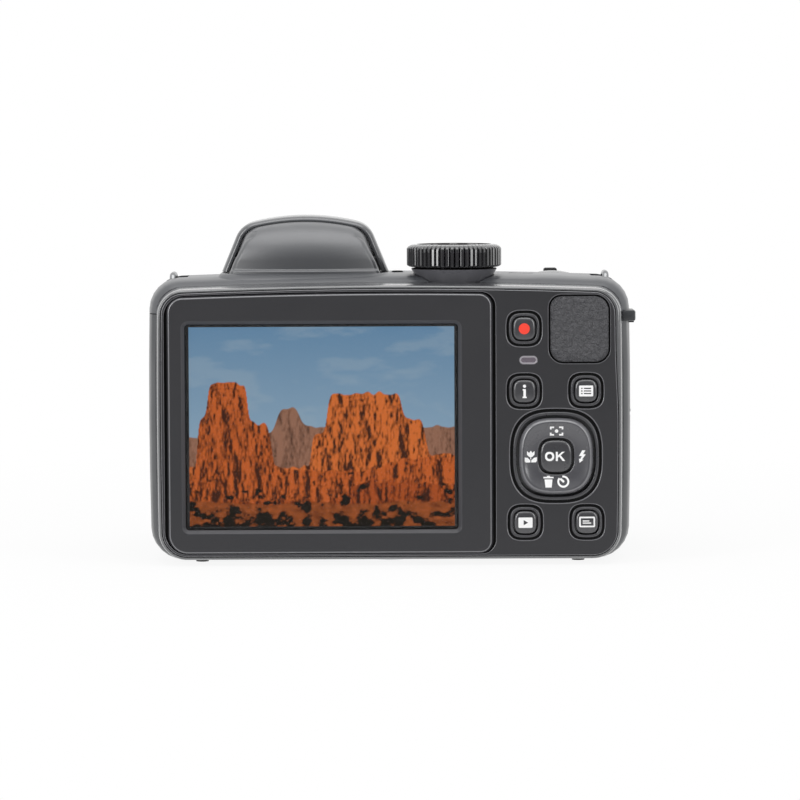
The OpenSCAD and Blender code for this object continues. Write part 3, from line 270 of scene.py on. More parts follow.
# glossy black ABS of the dial, and the greyer satin one of its collar
dial_abs = moulded("abs_polished_black", "#1A1A1D", "#202023", 0.1, drift=0.03, relief=0.0005,
                   **coat(1.0, 0.04, 1.7))
collar_abs = moulded("abs_semi_gloss_black", "#58585D", "#505055", 0.3, relief=0.001, **coat(0.8, 0.2))
# black ABS of tubes and linings
tube_abs = moulded("abs_moulded_black_tube", "#1A1A1C", "#202022", 0.4, relief=0.003)
# textured rubber: pebbles a little under a millimetre across
grain_rubber = moulded("rubber_moulded_pebble", "#5C5C60", "#303033", 0.34, drift=0.1, relief=0.9, patch=0.9,
                       pebble=0.9)
plain_rubber = moulded("rubber_moulded_plain", "#141415", "#1A1A1B", 0.7, relief=0.01)
# pad-printed ink
white_ink = moulded("ink_printed_white", "#F2F2F2", "#E6E6E6", 0.55, relief=0.002)
red_ink = moulded("ink_printed_red", "#F2402C", "#E83A28", 0.5, relief=0.002)
# smoked lamp window
lamp_smoke = moulded("polycarbonate_smoked", "#6A626B", "#5E575F", 0.3, relief=0.001)
lamp_rim = moulded("polycarbonate_frosted", "#9A969C", "#8E8A90", 0.35, relief=0.001)
dark_steel = moulded("steel_blackened", "#1C1C1E", "#242426", 0.45, relief=0.002, Metallic=0.6)
steel = moulded("steel_polished", "#C4C6C8", "#B6B8BA", 0.2, relief=0.001, Metallic=1.0)
bright_steel = moulded("steel_nickel_plated", "#9A9B9C", "#8C8D8E", 0.24, relief=0.001, Metallic=1.0)
aluminium = moulded("aluminium_sheet_stamped", "#B2B4B6", "#A4A6A8", 0.38, relief=0.003, Metallic=1.0)
mirror = moulded("aluminium_bright_reflector", "#DADCDE", "#D0D2D4", 0.1, relief=0.001, Metallic=1.0)
solder_mask = moulded("glass_epoxy_solder_mask", "#1F5A38", "#184A2D", 0.35, drift=0.08, patch=2.5)
silicone = moulded("silicone_moulded_grey", "#6D7176", "#63676B", 0.6)
cell_wrap = moulded("polypropylene_cell_case", "#3A3C40", "#333539", 0.45)
can_wrap = moulded("pvc_sleeve_capacitor", "#2E3A48", "#27323E", 0.4)
optic = moulded("glass_coated_lens", "#FFFFFF", "#F6F8FF", 0.02, drift=0.01, relief=0.0,
                **{"Transmission Weight": 1.0, "IOR": 1.52, "Coat Weight": 0.3, "Coat Tint": srgb("#DCD6F4")})
clear_cover = moulded("acrylic_anti_reflection", "#FFFFFF", "#FCFCFC", 0.02, drift=0.01, relief=0.0,
                      **{"Transmission Weight": 1.0, "IOR": 1.06})
diffuser = moulded("acrylic_ribbed_diffuser", "#EEF0F2", "#E4E6E8", 0.2, relief=0.002,
                   **{"Transmission Weight": 0.7, "IOR": 1.49})
lamp_amber = moulded("polycarbonate_amber", "#A03A22", "#8C301C", 0.15, relief=0.001,
                     **{"Transmission Weight": 0.4, "IOR": 1.58})
screen_black = moulded("display_black_mask", "#060607", "#08080A", 0.4, relief=0.001)
print("finishes:", len(bpy.data.materials))

# %% [markdown]
# ## Outlines
# Three kinds of outline turn up everywhere on this camera: the rounded rectangle, the same one bent along
# the crowned deck, and the squircle of the buttons. Each is a function of an inset, so a profile can be
# carried along it: every row of the profile is the same outline, a little smaller and a little deeper.

# %% Outlines that take an inset
REAR, DEPTH = -18.0, 7.0
BODY_HW, FACE_HW, SEAM_HW = 55.4, 51.7, 53.35
FACE_TOP, FACE_BOT, SEAM_TOP, SEAM_BOT = 62.4, 1.8, 63.0, 0.95
CROWN, INNER_CROWN, SWELL = 1.25, 1.15, 0.3
# the face is wider and lower than its solid; its upper right side is pulled in, in full from an inset on
SPREAD, DROP, PULL, PULL_INSET = 0.9, 0.35, 0.5, 0.58
# corner radii at the face, and what the seam has more
TOP_R, BOT_R, TOP_R_MORE, BOT_R_MORE = 5.4, 6.2, 0.6, 0.4
# boxes as x0, x1, z0, z1; corners from the lower right, counter-clockwise
SURROUND, SURROUND_R = np.array([-50.1, 23.1, 3.0, 60.65]), np.array([2.6, 2.7, 3.2, 4.2])
POCKET_BOX, POCKET_R = np.array([-50.85, 23.85, 2.95, 60.95]), np.array([2.9, 3.0, 4.4, 4.9])
OUTWARD = np.array([-1, 1, -1, 1])
LCD_W, LCD_H, LCD_X, LCD_Z = 60.96, 45.72, -15.4, 31.6


def smooth(t):
    """Smooth step: t squared x (3 - 2 t), held at 0 and 1 outside that range."""
    t = np.clip(t, 0, 1)
    return t * t * (3 - 2 * t)


def rounded(x0, x1, z0, z1, radius, n=12, m=10):
    """Quarter circles round four corners, straight runs between; counter-clockwise from the lower right."""
    r = np.broadcast_to(np.asarray(radius, float), 4)
    cx = np.array([x1 - r[0], x1 - r[1], x0 + r[2], x0 + r[3]])[:, None]
    cz = np.array([z0 + r[0], z1 - r[1], z1 - r[2], z0 + r[3]])[:, None]
    turn = np.radians(np.array([-90, 0, 90, 180])[:, None] + np.linspace(0, 90, n + 1))
    arcs = np.stack([cx + r[:, None] * np.cos(turn), cz + r[:, None] * np.sin(turn)], axis=-1)
    share = np.arange(1, m + 1)[None, :, None] / (m + 1)
    runs = arcs[:, -1:] * (1 - share) + np.roll(arcs, -1, axis=0)[:, :1] * share
    return np.concatenate([arcs, runs], axis=1).reshape(-1, 2)


def box_outline(at, w, h, radius, grow=0.0, **steps):
    """Rounded rectangle about a centre, grown on every side."""
    return rounded(at[0] - w / 2 - grow, at[0] + w / 2 + grow, at[1] - h / 2 - grow, at[1] + h / 2 + grow,
                   np.maximum(np.asarray(radius) + grow, 0.05), **steps)


def crowned_box(x0, x1, z0, z1, radius, crown, swell=0.0):
    """Rounded rectangle; crown x (1 - u squared) lifts its top and swell widens its sides half-way up."""
    x, z = rounded(x0, x1, z0, z1, radius, n=16, m=28).T
    u, v = x / BODY_HW, (2 * z - z0 - z1) / (z1 - z0)
    return np.column_stack([x + swell * u * (1 - v * v), z + crown * (1 - u * u) * (z - z0) / (z1 - z0)])


def rear_outline(depth, inset):
    """Section of the rear housing at a depth from the face, drawn in by an inset.

    Round the face its upper right side draws in a little more, with a smooth step in height."""
    t = depth / DEPTH
    hw = FACE_HW + SPREAD - SWELL + t * (SEAM_HW - FACE_HW - SPREAD) - inset
    z0 = FACE_BOT - DROP + t * (SEAM_BOT - FACE_BOT + DROP) + inset
    z1 = FACE_TOP + t * (SEAM_TOP - FACE_TOP) - inset
    rt, rb = TOP_R + TOP_R_MORE * t - inset, BOT_R + BOT_R_MORE * t - inset
    outline = crowned_box(-hw, hw, z0, z1, [rb, rt, rt, rb], CROWN, SWELL)
    up = ((outline[:, 1] - z0) / (z1 - z0) - 0.5) / 0.3
    pull = PULL * min(inset / PULL_INSET, 1) * (depth < 1) * smooth(up)
    outline[:, 0] -= pull * np.clip(outline[:, 0] / hw, 0, 1) ** 3
    return outline


def surround_outline(grow):
    """Outline of the screen surround, grown all round."""
    corner = np.maximum(SURROUND_R + min(grow, 0.3), 0.3)
    return crowned_box(*(SURROUND + grow * OUTWARD), corner, INNER_CROWN)


def squircle(at, w, h, grow=0.0, power=3.1, n=128):
    """Superellipse |x/a|^p + |z/b|^p = 1, walked at n even steps along its length."""
    a = np.linspace(0, 2 * np.pi, 4097)
    c, s = np.cos(a), np.sin(a)
    x = (w / 2 + grow) * np.sign(c) * np.abs(c) ** (2 / power)
    z = (h / 2 + grow) * np.sign(s) * np.abs(s) ** (2 / power)
    walked = np.concatenate([[0], np.cumsum(np.hypot(np.diff(x), np.diff(z)))])
    stops = np.arange(n) / n * walked[-1]
    return np.asarray(at) + np.column_stack([np.interp(stops, walked, x), np.interp(stops, walked, z)])


def carried(outline, profile):
    """Carries a profile along an outline: one row of points for each (grow, depth) of the profile."""
    return np.stack([flat(outline(grow), REAR + depth) for grow, depth in profile])


PANEL_X, PANEL_W = 24.35, 27.35


def control(u, v):
    """Place in the control panel, as shares of its width and of the face's height."""
    return np.array([PANEL_X + u * PANEL_W, FACE_BOT + v * (FACE_TOP - FACE_BOT)])


KEYS = {"record": control(0.2263, 0.8581), "info": control(0.2271, 0.6238), "menu": control(0.7367, 0.6248),
        "play": control(0.2329, 0.1317), "display": control(0.7441, 0.1318)}
PAD, LAMP, THUMB = control(0.4881, 0.3804), control(0.2614, 0.7403), control(0.6837, 0.8558)
CAP_W, CAP_H, CAP_GAP = 5.1, 5.2, 0.25
PAD_W, PAD_H, PAD_GAP, PAD_POWER = 16.8, 17.4, 0.55, 2.8
LAMP_W, LAMP_H, LAMP_R = 4.1, 1.9, 0.94
THUMB_W, THUMB_H, THUMB_GAP, THUMB_R = 13.2, 14.85, 0.25, np.array([3.1, 3.3, 2.6, 3.1])
print("face", FACE_HW * 2, "x", FACE_TOP - FACE_BOT, "keys", [at.round(2).tolist() for at in KEYS.values()])

# %% [markdown]
# ## Rear housing
# On the real camera this is one injection moulding: a matt face, a fine groove round it, and a drafted wall
# that was polished and so shines as a pale band, its lighter grey a painted sheen. Each button stands in its
# own raised collar with a groove at its foot. The face is a flat fill between loops; every fillet, groove and
# collar is a profile carried along its loop, and they share their edge points with the face, so the whole
# moulding is one closed skin. Its fillets carry a painted highlight, its grooves a painted shade and its
# collars a painted sheen, each as a lighter or darker copy of the ABS.

# %% Face, collars and drafted wall
FACE_EDGE = [(0.98, 0), (0.92, 0), (0.87, 0.02), (0.81, 0.07), (0.76, 0.15), (0.73, 0.25), (0.72, 0.5),
             (0.6, 0.5), (0.58, 0.22)]
BAND = [(0.58, 0.22), (0.55, 0.12), (0.48, 0.07), (0.38, 0.06), (0.26, 0.12), (0.14, 0.26), (0.05, 0.5),
        (0.0, 0.9), (0.0, 2.0), (0.0, 3.5), (0.0, 5.0), (0.0, 6.85), (0.06, 6.96), (0.2, 7.0), (1.6, 7.0),
        (1.6, 2.0)]
COLLAR = [(1.5, 0), (1.42, 0), (1.32, 0.03), (1.24, 0.1), (1.2, 0.22), (1.17, 0.5), (0.72, 0.5), (0.7, 0.1),
          (0.67, -0.12), (0.6, -0.28), (0.5, -0.37), (0.36, -0.41), (0.22, -0.4), (0.1, -0.34), (0.02, -0.22),
          (0.0, -0.08), (0.0, 2.0)]
POCKET = [(0.4, 0), (0.35, 0), (0.28, 0.03), (0.23, 0.09), (0.2, 0.2), (0.2, 1.1)]
LAMP_EDGE = [(0.16, 0), (0.07, 0), (0.02, 0.03), (0.0, 0.1), (0.0, 2.0)]
THUMB_EDGE = [(0.4, 0), (0.3, 0), (0.2, 0.03), (0.12, 0.1), (0.08, 0.22), (0.08, 0.6)]
# finishes of the housing: painted sheen on the band, painted highlight on the fillets, painted shade in the
# grooves, painted sheen on the collars
EDGE_BAND, EDGE_HIGHLIGHT, GROOVE_SHADE, RING = range(1, 5)


def strips(profile, *spans):
    """Finish of each strip between two rows of a profile: spans are (first, end, finish), the rest gets 0."""
    finish = np.zeros(len(profile) - 1, int)
    for first, end, kind in spans:
        finish[first:end] = kind
    return finish


def drafted(profile):
    """Carries a profile of (inset, depth) along the housing's section, which changes with the depth."""
    return [flat(rear_outline(depth, inset), REAR + depth) for inset, depth in profile]


def key_hole(at):
    return lambda grow: squircle(at, CAP_W + 2 * CAP_GAP, CAP_H + 2 * CAP_GAP, grow)


def pad_hole(grow):
    return squircle(PAD, PAD_W + 2 * PAD_GAP, PAD_H + 2 * PAD_GAP, grow, power=PAD_POWER, n=192)


def lamp_hole(grow):
    return box_outline(LAMP, LAMP_W, LAMP_H, LAMP_R, grow)


def thumb_hole(grow):
    return box_outline(THUMB, THUMB_W + 2 * THUMB_GAP, THUMB_H + 2 * THUMB_GAP, THUMB_R + 0.15, grow)


def pocket_hole(grow):
    return crowned_box(*(POCKET_BOX + grow * OUTWARD), POCKET_R + grow, INNER_CROWN)


window_hole = box_outline((LCD_X, LCD_Z), LCD_W + 2.8, LCD_H + 2.8, 1.0, m=28)
collar_look = [(1, 4, EDGE_HIGHLIGHT), (4, 8, GROOVE_SHADE), (8, 15, RING), (15, 16, GROOVE_SHADE)]
sunk_look = [(1, 3, EDGE_HIGHLIGHT), (3, 5, GROOVE_SHADE)]
holes = [(key_hole(at), COLLAR, collar_look) for at in KEYS.values()]
holes += [(pad_hole, [(1.2 * g, d) for g, d in COLLAR], collar_look), (lamp_hole, LAMP_EDGE, sunk_look),
          (thumb_hole, THUMB_EDGE, sunk_look), (pocket_hole, POCKET, sunk_look)]
housing = [grid(carried(hole, profile), strips(profile, *look)) for hole, profile, look in holes]
housing += [grid(drafted(FACE_EDGE), strips(FACE_EDGE, (1, 5, EDGE_HIGHLIGHT), (5, 8, GROOVE_SHADE))),
            grid(drafted(BAND), finish=EDGE_BAND),
            fill([rear_outline(0, FACE_EDGE[0][0])] + [hole(p[0][0]) for hole, p, _ in holes], REAR)]
thumb_floor, pocket_floor, (back_inset, back) = THUMB_EDGE[-1], POCKET[-1], BAND[-1]
housing += [fill([thumb_hole(thumb_floor[0])], REAR + thumb_floor[1], GROOVE_SHADE),
            fill([pocket_hole(pocket_floor[0]), window_hole], REAR + pocket_floor[1], GROOVE_SHADE),
            grid([flat(window_hole, REAR + d) for d in (pocket_floor[1], back)]),
            fill([rear_outline(back, back_inset), window_hole] + [hole(0) for hole, _, _ in holes[:7]],
                 REAR + back)]
piece("rear_housing", housing, [panel_abs, edge_sheen_abs, edge_highlight_abs, groove_shade_abs, collar_sheen_abs], "body",
      ["rear_cover"])

# %% [markdown]
# ## Screen surround
# A separate matt moulding that stands 0.4 mm proud of the face, with a soft outer edge and a sloping bevel
# that leads down to the screen. The bevel catches the light from above along its lower run, and is also a
# lighter grey all round as painted light; its outer edge carries a painted highlight and the foot of the
# bevel a painted shade. It is made as two carried profiles, outer edge and bevel, with the flat between them
# filled.

# %% Surround with its bevel
OUTER = [(0.35, 1.0), (0.35, 0.4), (0.27, 0.2), (0.1, 0.02), (0.02, -0.14), (-0.05, -0.27), (-0.16, -0.36),
         (-0.3, -0.4), (-0.44, -0.4)]
BEVEL = [(1.12, -0.4), (1.02, -0.4), (0.95, -0.38), (0.88, -0.33), (0.2, 0.5), (0.1, 0.6), (0.03, 0.7),
         (0.0, 0.8), (0.0, 1.0)]
OPENING = np.array([LCD_X - LCD_W / 2 - 0.3, LCD_X + LCD_W / 2 + 0.3, LCD_Z - LCD_H / 2 - 0.35,
                    LCD_Z + LCD_H / 2 + 0.35])


def screen_opening(grow):
    return rounded(*(OPENING + grow * OUTWARD), 0.7 + 0.95 * grow, m=28)


outline_ends, opening_ends = (OUTER[-1], OUTER[0]), (BEVEL[0], BEVEL[-1])
# painted highlight on the outer edge's rounding, painted light on the bevel, painted shade at the bevel's
# foot
piece("screen_surround", [grid(carried(surround_outline, OUTER), strips(OUTER, (4, 7, 1))),
                          grid(carried(screen_opening, BEVEL), strips(BEVEL, (1, 4, 2), (4, 8, 3)))]
      + [fill([surround_outline(outer), screen_opening(inner)], REAR + depth)
         for (outer, depth), (inner, _) in zip(outline_ends, opening_ends)],
      [surround_abs, edge_highlight_abs, bevel_light_abs, groove_shade_abs], "body", ["lcd_bezel"])

# %% [markdown]
# ## The picture on the screen
# The screen shows a made-up desert in low sun: layered sandstone tables under a blue-grey sky. It could be
# an image file, but a sheet of points that each carry a colour needs no file and stays sharp. Ridge lines
# are sums of smooth steps, and the rock's bands follow the height with some noise.


# %% Colours of the picture, worked out on a grid
def over(below, above, share):
    """Lays one value over another by a share."""
    return below * (1 - share) + above * share


def drift_noise(u, v, cells, seed):
    """Value noise: random numbers on a coarse lattice, blended with smooth steps between its points."""
    lattice = np.random.default_rng(seed).random((cells + 2, cells + 2))
    x, y = u * cells, v * cells
    i, j = x.astype(int), y.astype(int)
    a, b = smooth(x - i), smooth(y - j)
    top, low = (over(lattice[k, i], lattice[k, i + 1], a) for k in (j, j + 1))
    return over(top, low, b)


def ridge(u, base, steps, seed, rough):
    """Skyline of table mountains: a base and smooth steps of (place, width, rise), roughened by noise."""
    rise = base + sum(h / (1 + np.exp(-(u - at) / w)) for at, w, h in steps)
    return rise + rough * (drift_noise(u, u * 0 + 0.37, 46, seed) - 0.5)


def fractal(u, v, cells, seed, octaves=5):
    """Octaves of value noise: each one twice as fine and a little over half as strong."""
    parts = [0.55**k * drift_noise(u, v, cells * 2**k, seed + k) for k in range(octaves)]
    return sum(parts) / sum(0.55**k for k in range(octaves))


columns, rows = 360, 270
u, v = np.meshgrid(np.linspace(0, 1, columns), np.linspace(0, 1, rows))
lin = {name: np.array(srgb(code)[:3]) for name, code in dict(
    sky_high="#5F82A0", sky_low="#86A0B4", haze="#8FA2B0", far="#8C6450", lit="#C8682E", mid="#B85A26",
    near="#A04A1E", shade="#2A130A", sand="#9A5026", scrub="#14100A").items()}
picture = over(lin["sky_low"], lin["sky_high"], np.clip((v - 0.35) / 0.65, 0, 1)[..., None])
cloud = np.clip(2.4 * (fractal(u, np.clip(2.2 * v - 1.2, 0, 1), 5, 3) - 0.52), 0, 0.35)[..., None]
picture = over(picture, lin["haze"], cloud)
# from far to near: base of the skyline, its steps, tint, roughness, depth of its shadows
layers = [(0.45, [(0.1, 0.012, 0.07), (0.2, 0.01, -0.05), (0.33, 0.008, 0.13), (0.42, 0.006, -0.1)],
           "far", 0.02, 0.5),
          (0.3, [(0.46, 0.004, 0.17), (0.52, 0.005, 0.2), (0.8, 0.005, -0.13), (0.89, 0.006, -0.18)],
           "lit", 0.02, 1.0),
          (0.25, [(0.03, 0.004, 0.3), (0.07, 0.004, 0.17), (0.22, 0.004, -0.2), (0.31, 0.006, -0.24),
                  (0.75, 0.04, 0.07)], "mid", 0.02, 1.0),
          (0.13, [(0.6, 0.02, 0.1), (0.93, 0.03, -0.06)], "near", 0.03, 1.0)]
for number, (base, steps, tint, rough, depth) in enumerate(layers):
    top = ridge(u, base, steps, 11 + number, rough)
    inside = np.clip((top - v) * rows * 0.8, 0, 1)[..., None]
    walls = fractal(u, 0.3 * v, 24, 31 + number, 4)
    lean = fractal(np.clip(u + 0.006, 0, 1), 0.3 * v, 24, 31 + number, 4) - walls
    bands = np.sin(90 * np.sqrt(np.maximum(top - v, 0)) + 6 * fractal(u, v, 6, 21 + number))
    grit = fractal(u, v, 60, 41 + number, 3)
    foot = np.clip((v - 0.06) / np.maximum(top - 0.06, 0.05), 0, 1)
    dark = 0.34 + 7.5 * lean + 0.16 * np.clip(bands, 0, 1) + 0.9 * (grit - 0.5) + 0.35 * (0.55 - foot)
    rock = over(lin[tint], lin["shade"], np.clip(depth * dark, 0, 0.96)[..., None])
    picture = over(picture, rock, inside)
floor_top = 0.1 + 0.05 * fractal(u, v * 0, 5, 51)
inside = np.clip((floor_top - v) * rows * 0.3, 0, 1)[..., None]
picture = over(picture, lin["sand"] * (0.25 + 0.9 * fractal(u, v, 50, 52))[..., None], inside)
bush = np.clip(9 * (fractal(u, v, 34, 61, 4) - 0.53 + 1.1 * (0.1 - v)), 0, 1)[..., None]
picture = over(picture, lin["scrub"] * (0.5 + 1.2 * fractal(u, v, 90, 71, 2))[..., None], bush)
print("picture", picture.shape, "mean", picture.mean(axis=(0, 1)).round(3))

# %% The lit sheet behind the clear cover
# a liquid crystal display: the colour is its own light, and the polariser on it is faintly matt
display_glow = bpy.data.materials.new("display_lit_picture")
tree = bare_tree(display_glow)
cells = noise(tree, (add(tree, "TexCoord"), "Object"), 0.5, 1.0)
paint = add(tree, "VertexColor", layer_name="picture")
dots = ramp(tree, cells, 0.0, 1.0, 0.3, 0.4)
glow = add(tree, "BsdfPrincipled", {"Base Color": srgb("#050505"), "Roughness": dots,
                                    "Specular IOR Level": 0.1, "Emission Color": (paint, "Color"),
                                    "Emission Strength": 0.95})
add(tree, "OutputMaterial", {"Surface": (glow, "BSDF")})
PICTURE_W, PICTURE_H, PICTURE_Y = LCD_W - 0.7, LCD_H - 0.3, REAR + 1.96
sheet_points = np.stack([LCD_X + (u - 0.5) * PICTURE_W, np.full_like(u, PICTURE_Y),
                         LCD_Z + (v - 0.5) * PICTURE_H], axis=-1)
lit = piece("display_picture", [grid(sheet_points, wrap=False)], [display_glow], "body")
if lit.data.polygons[0].normal.y > 0:
    lit.data.flip_normals()
# merging may have changed the order of the points, so each looks up its colour by its place
spots = np.empty(3 * len(lit.data.vertices))
lit.data.vertices.foreach_get("co", spots)
spots = spots.reshape(-1, 3) / MM
pick_u = np.rint(((spots[:, 0] - LCD_X) / PICTURE_W + 0.5) * (columns - 1)).astype(int)
pick_v = np.rint(((spots[:, 2] - LCD_Z) / PICTURE_H + 0.5) * (rows - 1)).astype(int)
tint = lit.data.color_attributes.new("picture", "FLOAT_COLOR", "POINT")
tint.data.foreach_set("color", np.column_stack([picture[pick_v, pick_u], np.ones(len(spots))]).ravel())

# %% [markdown]
# ## Buttons
# A cap is a squircle with a rounded shoulder and a slightly crowned top, moulded with a flange behind the
# cover that keeps it from falling out. The four-way pad is dished so a thumb finds it, with a bevel round
# its rim that shows as a bright crescent at the top and carries a painted highlight all round. Both are
# profiles carried from the back to the front.

# %% Caps, pad and centre button
SHOULDER = [(0.0, -0.14), (-0.03, -0.3), (-0.1, -0.45), (-0.22, -0.57), (-0.4, -0.67), (-0.62, -0.73),
            (-0.88, -0.76)]
KEY_BACK = [(0.95, 2.9), (0.95, 2.3), (0.0, 2.3)]
SET_BACK = [(0.0, 3.4), (0.0, 2.7), (0.75, 2.7), (0.75, 2.1), (0.0, 2.1)]
SET_W, SET_H, SET_GAP, SET_POWER, SET_RAISE, CAP_CROWN = 7.2, 7.36, 0.45, 3.0, 0.32, 0.2


def closed(sides, back, top):
    """Closes carried rows: a hub at the back before them, rows that shrink to the top's middle after them."""
    return [grid(np.concatenate([back + 0 * sides[:1], sides, top]))]


def cap(outline, back, front):
    """Back profile, rounded shoulder, then a top that rises by crown x (1 - s squared) towards its middle."""
    sides = carried(outline, back + [(g, d + front) for g, d in SHOULDER])
    middle = sides[-1].mean(axis=0)
    s = np.linspace(0.86, 0, 7)[:, None, None]
    top = middle + s * (sides[-1] - middle)
    top[..., 1] -= CAP_CROWN * (1 - s[..., 0] ** 2)
    return closed(sides, sides[:1].mean(axis=1, keepdims=True), top)


for key, at in KEYS.items():
    made = cap(lambda grow: squircle(at, CAP_W, CAP_H, grow), KEY_BACK, 0.0)
    piece(f"{key}_cap", made, [cap_abs], f"{key}_key", [f"{key}_button"])
made = cap(lambda grow: squircle(PAD, SET_W, SET_H, grow, power=SET_POWER), SET_BACK, -SET_RAISE)
piece("centre_cap", made, [cap_abs], "set_key", ["set_button"])

hole_ring = squircle(PAD, SET_W + 2 * SET_GAP, SET_H + 2 * SET_GAP, power=SET_POWER, n=192)
seat_ring = squircle(PAD, SET_W + 2.7, SET_H + 2.7, power=SET_POWER, n=192)


def rim_ring(grow=0.0):
    return squircle(PAD, PAD_W, PAD_H, grow, power=PAD_POWER, n=192)


# profile of the pad from its hole to its rim: share of the way, depth
dish = [(k, -0.78 - 0.72 * ((k - 0.08) / 0.68) ** 1.7) for k in np.linspace(0.08, 0.76, 12)]
across = [(0.0, -0.5), (0.012, -0.64), (0.03, -0.73), (0.055, -0.77)] + dish
across += [(0.79, -1.52), (0.82, -1.49), (0.86, -1.38), (0.9, -1.2), (0.95, -0.88), (0.985, -0.56),
           (1.0, -0.25)]
pad_rows = [flat(seat_ring, REAR + 3.1), flat(seat_ring, REAR + 1.5), flat(hole_ring, REAR + 1.5)]
pad_rows += [flat(hole_ring + k * (rim_ring() - hole_ring), REAR + d) for k, d in across]
pad_rows += [flat(rim_ring(g), REAR + d) for g, d in ((0.0, 2.8), (1.05, 2.8), (1.05, 3.1))]
pad_rows.append(pad_rows[0])
# the bevel round the pad's rim gets the painted-highlight finish all round
piece("four_way_pad", [grid(pad_rows, strips(pad_rows, (20, 25, 1)))], [pad_abs, edge_highlight_abs], "pad",
      ["nav_pad"])

# %% [markdown]
# ## Legends
# The caps carry small printed signs: plain pictograms that every camera of this kind shares. Print could be
# a texture, but at this size a thin raised plate of ink gives a cleaner edge. Each sign is a few outlines,
# filled between their loops; its sides run down into the cap.


# %% Signs as loops of points
def loop(*points):
    return np.array(points, float)


def bar(x0, x1, z0, z1):
    return loop((x0, z0), (x1, z0), (x1, z1), (x0, z1))


def disc(x, z, r, n=32):
    a = np.linspace(0, 2 * np.pi, n, endpoint=False)
    return np.column_stack([x + r * np.cos(a), z + r * np.sin(a)])


def bow(r0, r1, a0, a1, n=32):
    """Thick arc: out along one radius and back along the other."""
    a = np.radians(np.linspace(a0, a1, n))
    spokes = np.column_stack([np.cos(a), np.sin(a)])
    return np.concatenate([r1 * spokes, r0 * spokes[::-1]])


flip = np.array([-1.0, 1.0])
leaf = loop((-1.4, -0.15), (-0.75, -0.25), (-0.1, -0.85), (-0.1, -1.3), (-1.15, -1.3), (-1.4, -0.95))
corner = loop((-1.6, 1.1), (-1.6, 0.4), (-1.2, 0.4), (-1.2, 0.72), (-0.6, 0.72), (-0.6, 1.1))
SIGNS = {
    "play": [[box_outline((0, 0), 3.2, 2.35, 0.25), loop((-0.42, -0.6), (0.6, 0), (-0.42, 0.6))]],
    "menu": [[box_outline((0, 0), 3.2, 2.45, 0.2)]
             + [bar(x0, x1, z, z + 0.27) for x0, x1 in ((-1.15, -0.8), (-0.5, 1.15))
                for z in (-0.72, -0.14, 0.44)]],
    "info": [[disc(0, 1.2, 0.36)],
             [loop((-0.45, -1.5), (0.5, -1.5), (0.5, -1.18), (0.3, -1.18), (0.3, 0.55), (-0.42, 0.55),
                   (-0.42, 0.22), (-0.26, 0.22), (-0.26, -1.18), (-0.45, -1.18))]],
    "display": [[box_outline((0, 0.1), 3.6, 2.4, 0.3), box_outline((0, 0.1), 2.9, 1.7, 0.1)],
                [bar(-1.0, 0.5, 0.2, 0.46)], [bar(-1.0, 0.9, -0.28, -0.02)]],
    "flower": [[loop((-0.85, 1.3), (-0.4, 0.85), (0, 1.35), (0.4, 0.85), (0.85, 1.3), (0.85, 0.45),
                     (0.35, -0.05), (0.1, -0.1), (0.1, -0.6), (-0.1, -0.6), (-0.1, -0.1), (-0.35, -0.05),
                     (-0.85, 0.45))],
               [leaf], [(leaf * flip)[::-1]]],
    "bolt": [[loop((0.05, 1.4), (0.75, 1.4), (0.25, 0.5), (0.85, 0.5), (-0.02, -0.7), (0.35, -0.7),
                   (-0.55, -1.45), (-0.7, -0.45), (-0.42, -0.62), (-0.05, 0.08), (-0.7, 0.08))]],
    "bin": [[bar(-1.15, 1.15, 0.75, 1.08)], [bar(-0.35, 0.35, 1.08, 1.32)],
            [loop((-0.9, 0.5), (0.9, 0.5), (0.7, -1.3), (-0.7, -1.3))]],
    "timer": [[bow(0.92, 1.35, -222, 100, 56)],
              [loop((-0.85, 0.5), (-0.5, 0.85), (0.3, 0.12), (0.12, -0.22), (-0.1, -0.2))]],
    "focus": [[corner], [(corner * flip)[::-1]], [-corner], [(corner * -flip)[::-1]], [disc(0, 0, 0.42)]],
    "okay": [[squircle((-1.25, 0), w, w, power=k, n=64) for w, k in ((2.1, 2.3), (1.15, 2.2))],
             [loop((0.15, -1.05), (0.62, -1.05), (0.62, -0.32), (0.9, 0.0), (1.72, -1.05), (2.3, -1.05),
                   (1.25, 0.28), (2.2, 1.05), (1.55, 1.05), (0.62, 0.22), (0.62, 1.05), (0.15, 1.05))]],
    "dot": [[disc(0, 0, 1.24, 64)]],
}


def dish_depth(points):
    """Depth of the pad's dish: its profile looked up by the share of the way from the hole to the rim."""
    x, z = np.abs(points[:, 0] - PAD[0]), np.abs(points[:, 2] - PAD[1])
    reach = np.hypot(x, z)
    hole, rim = (reach / ((2 * x / w) ** power + (2 * z / h) ** power) ** (1 / power) for w, h, power in
                 ((SET_W + 2 * SET_GAP, SET_H + 2 * SET_GAP, SET_POWER), (PAD_W, PAD_H, PAD_POWER)))
    return np.interp((reach - hole) / (rim - hole), *np.array(across).T)


INK_DEPTH = 0.3


def sign(kind, at, top, size=1.0, dished=False):
    """Patches of one sign: each group is a face filled between its loops and a wall along each loop."""
    groups = [[np.asarray(at) + size * ring for ring in group] for group in SIGNS[kind]]
    patches = [fill(group, REAR + top) for group in groups]
    patches += [grid([flat(ring, REAR + top), flat(ring, REAR + top + INK_DEPTH)])
                for group in groups for ring in group]
    if dished:
        for points, _, _ in patches:
            points[:, 1] += dish_depth(points)
    return patches


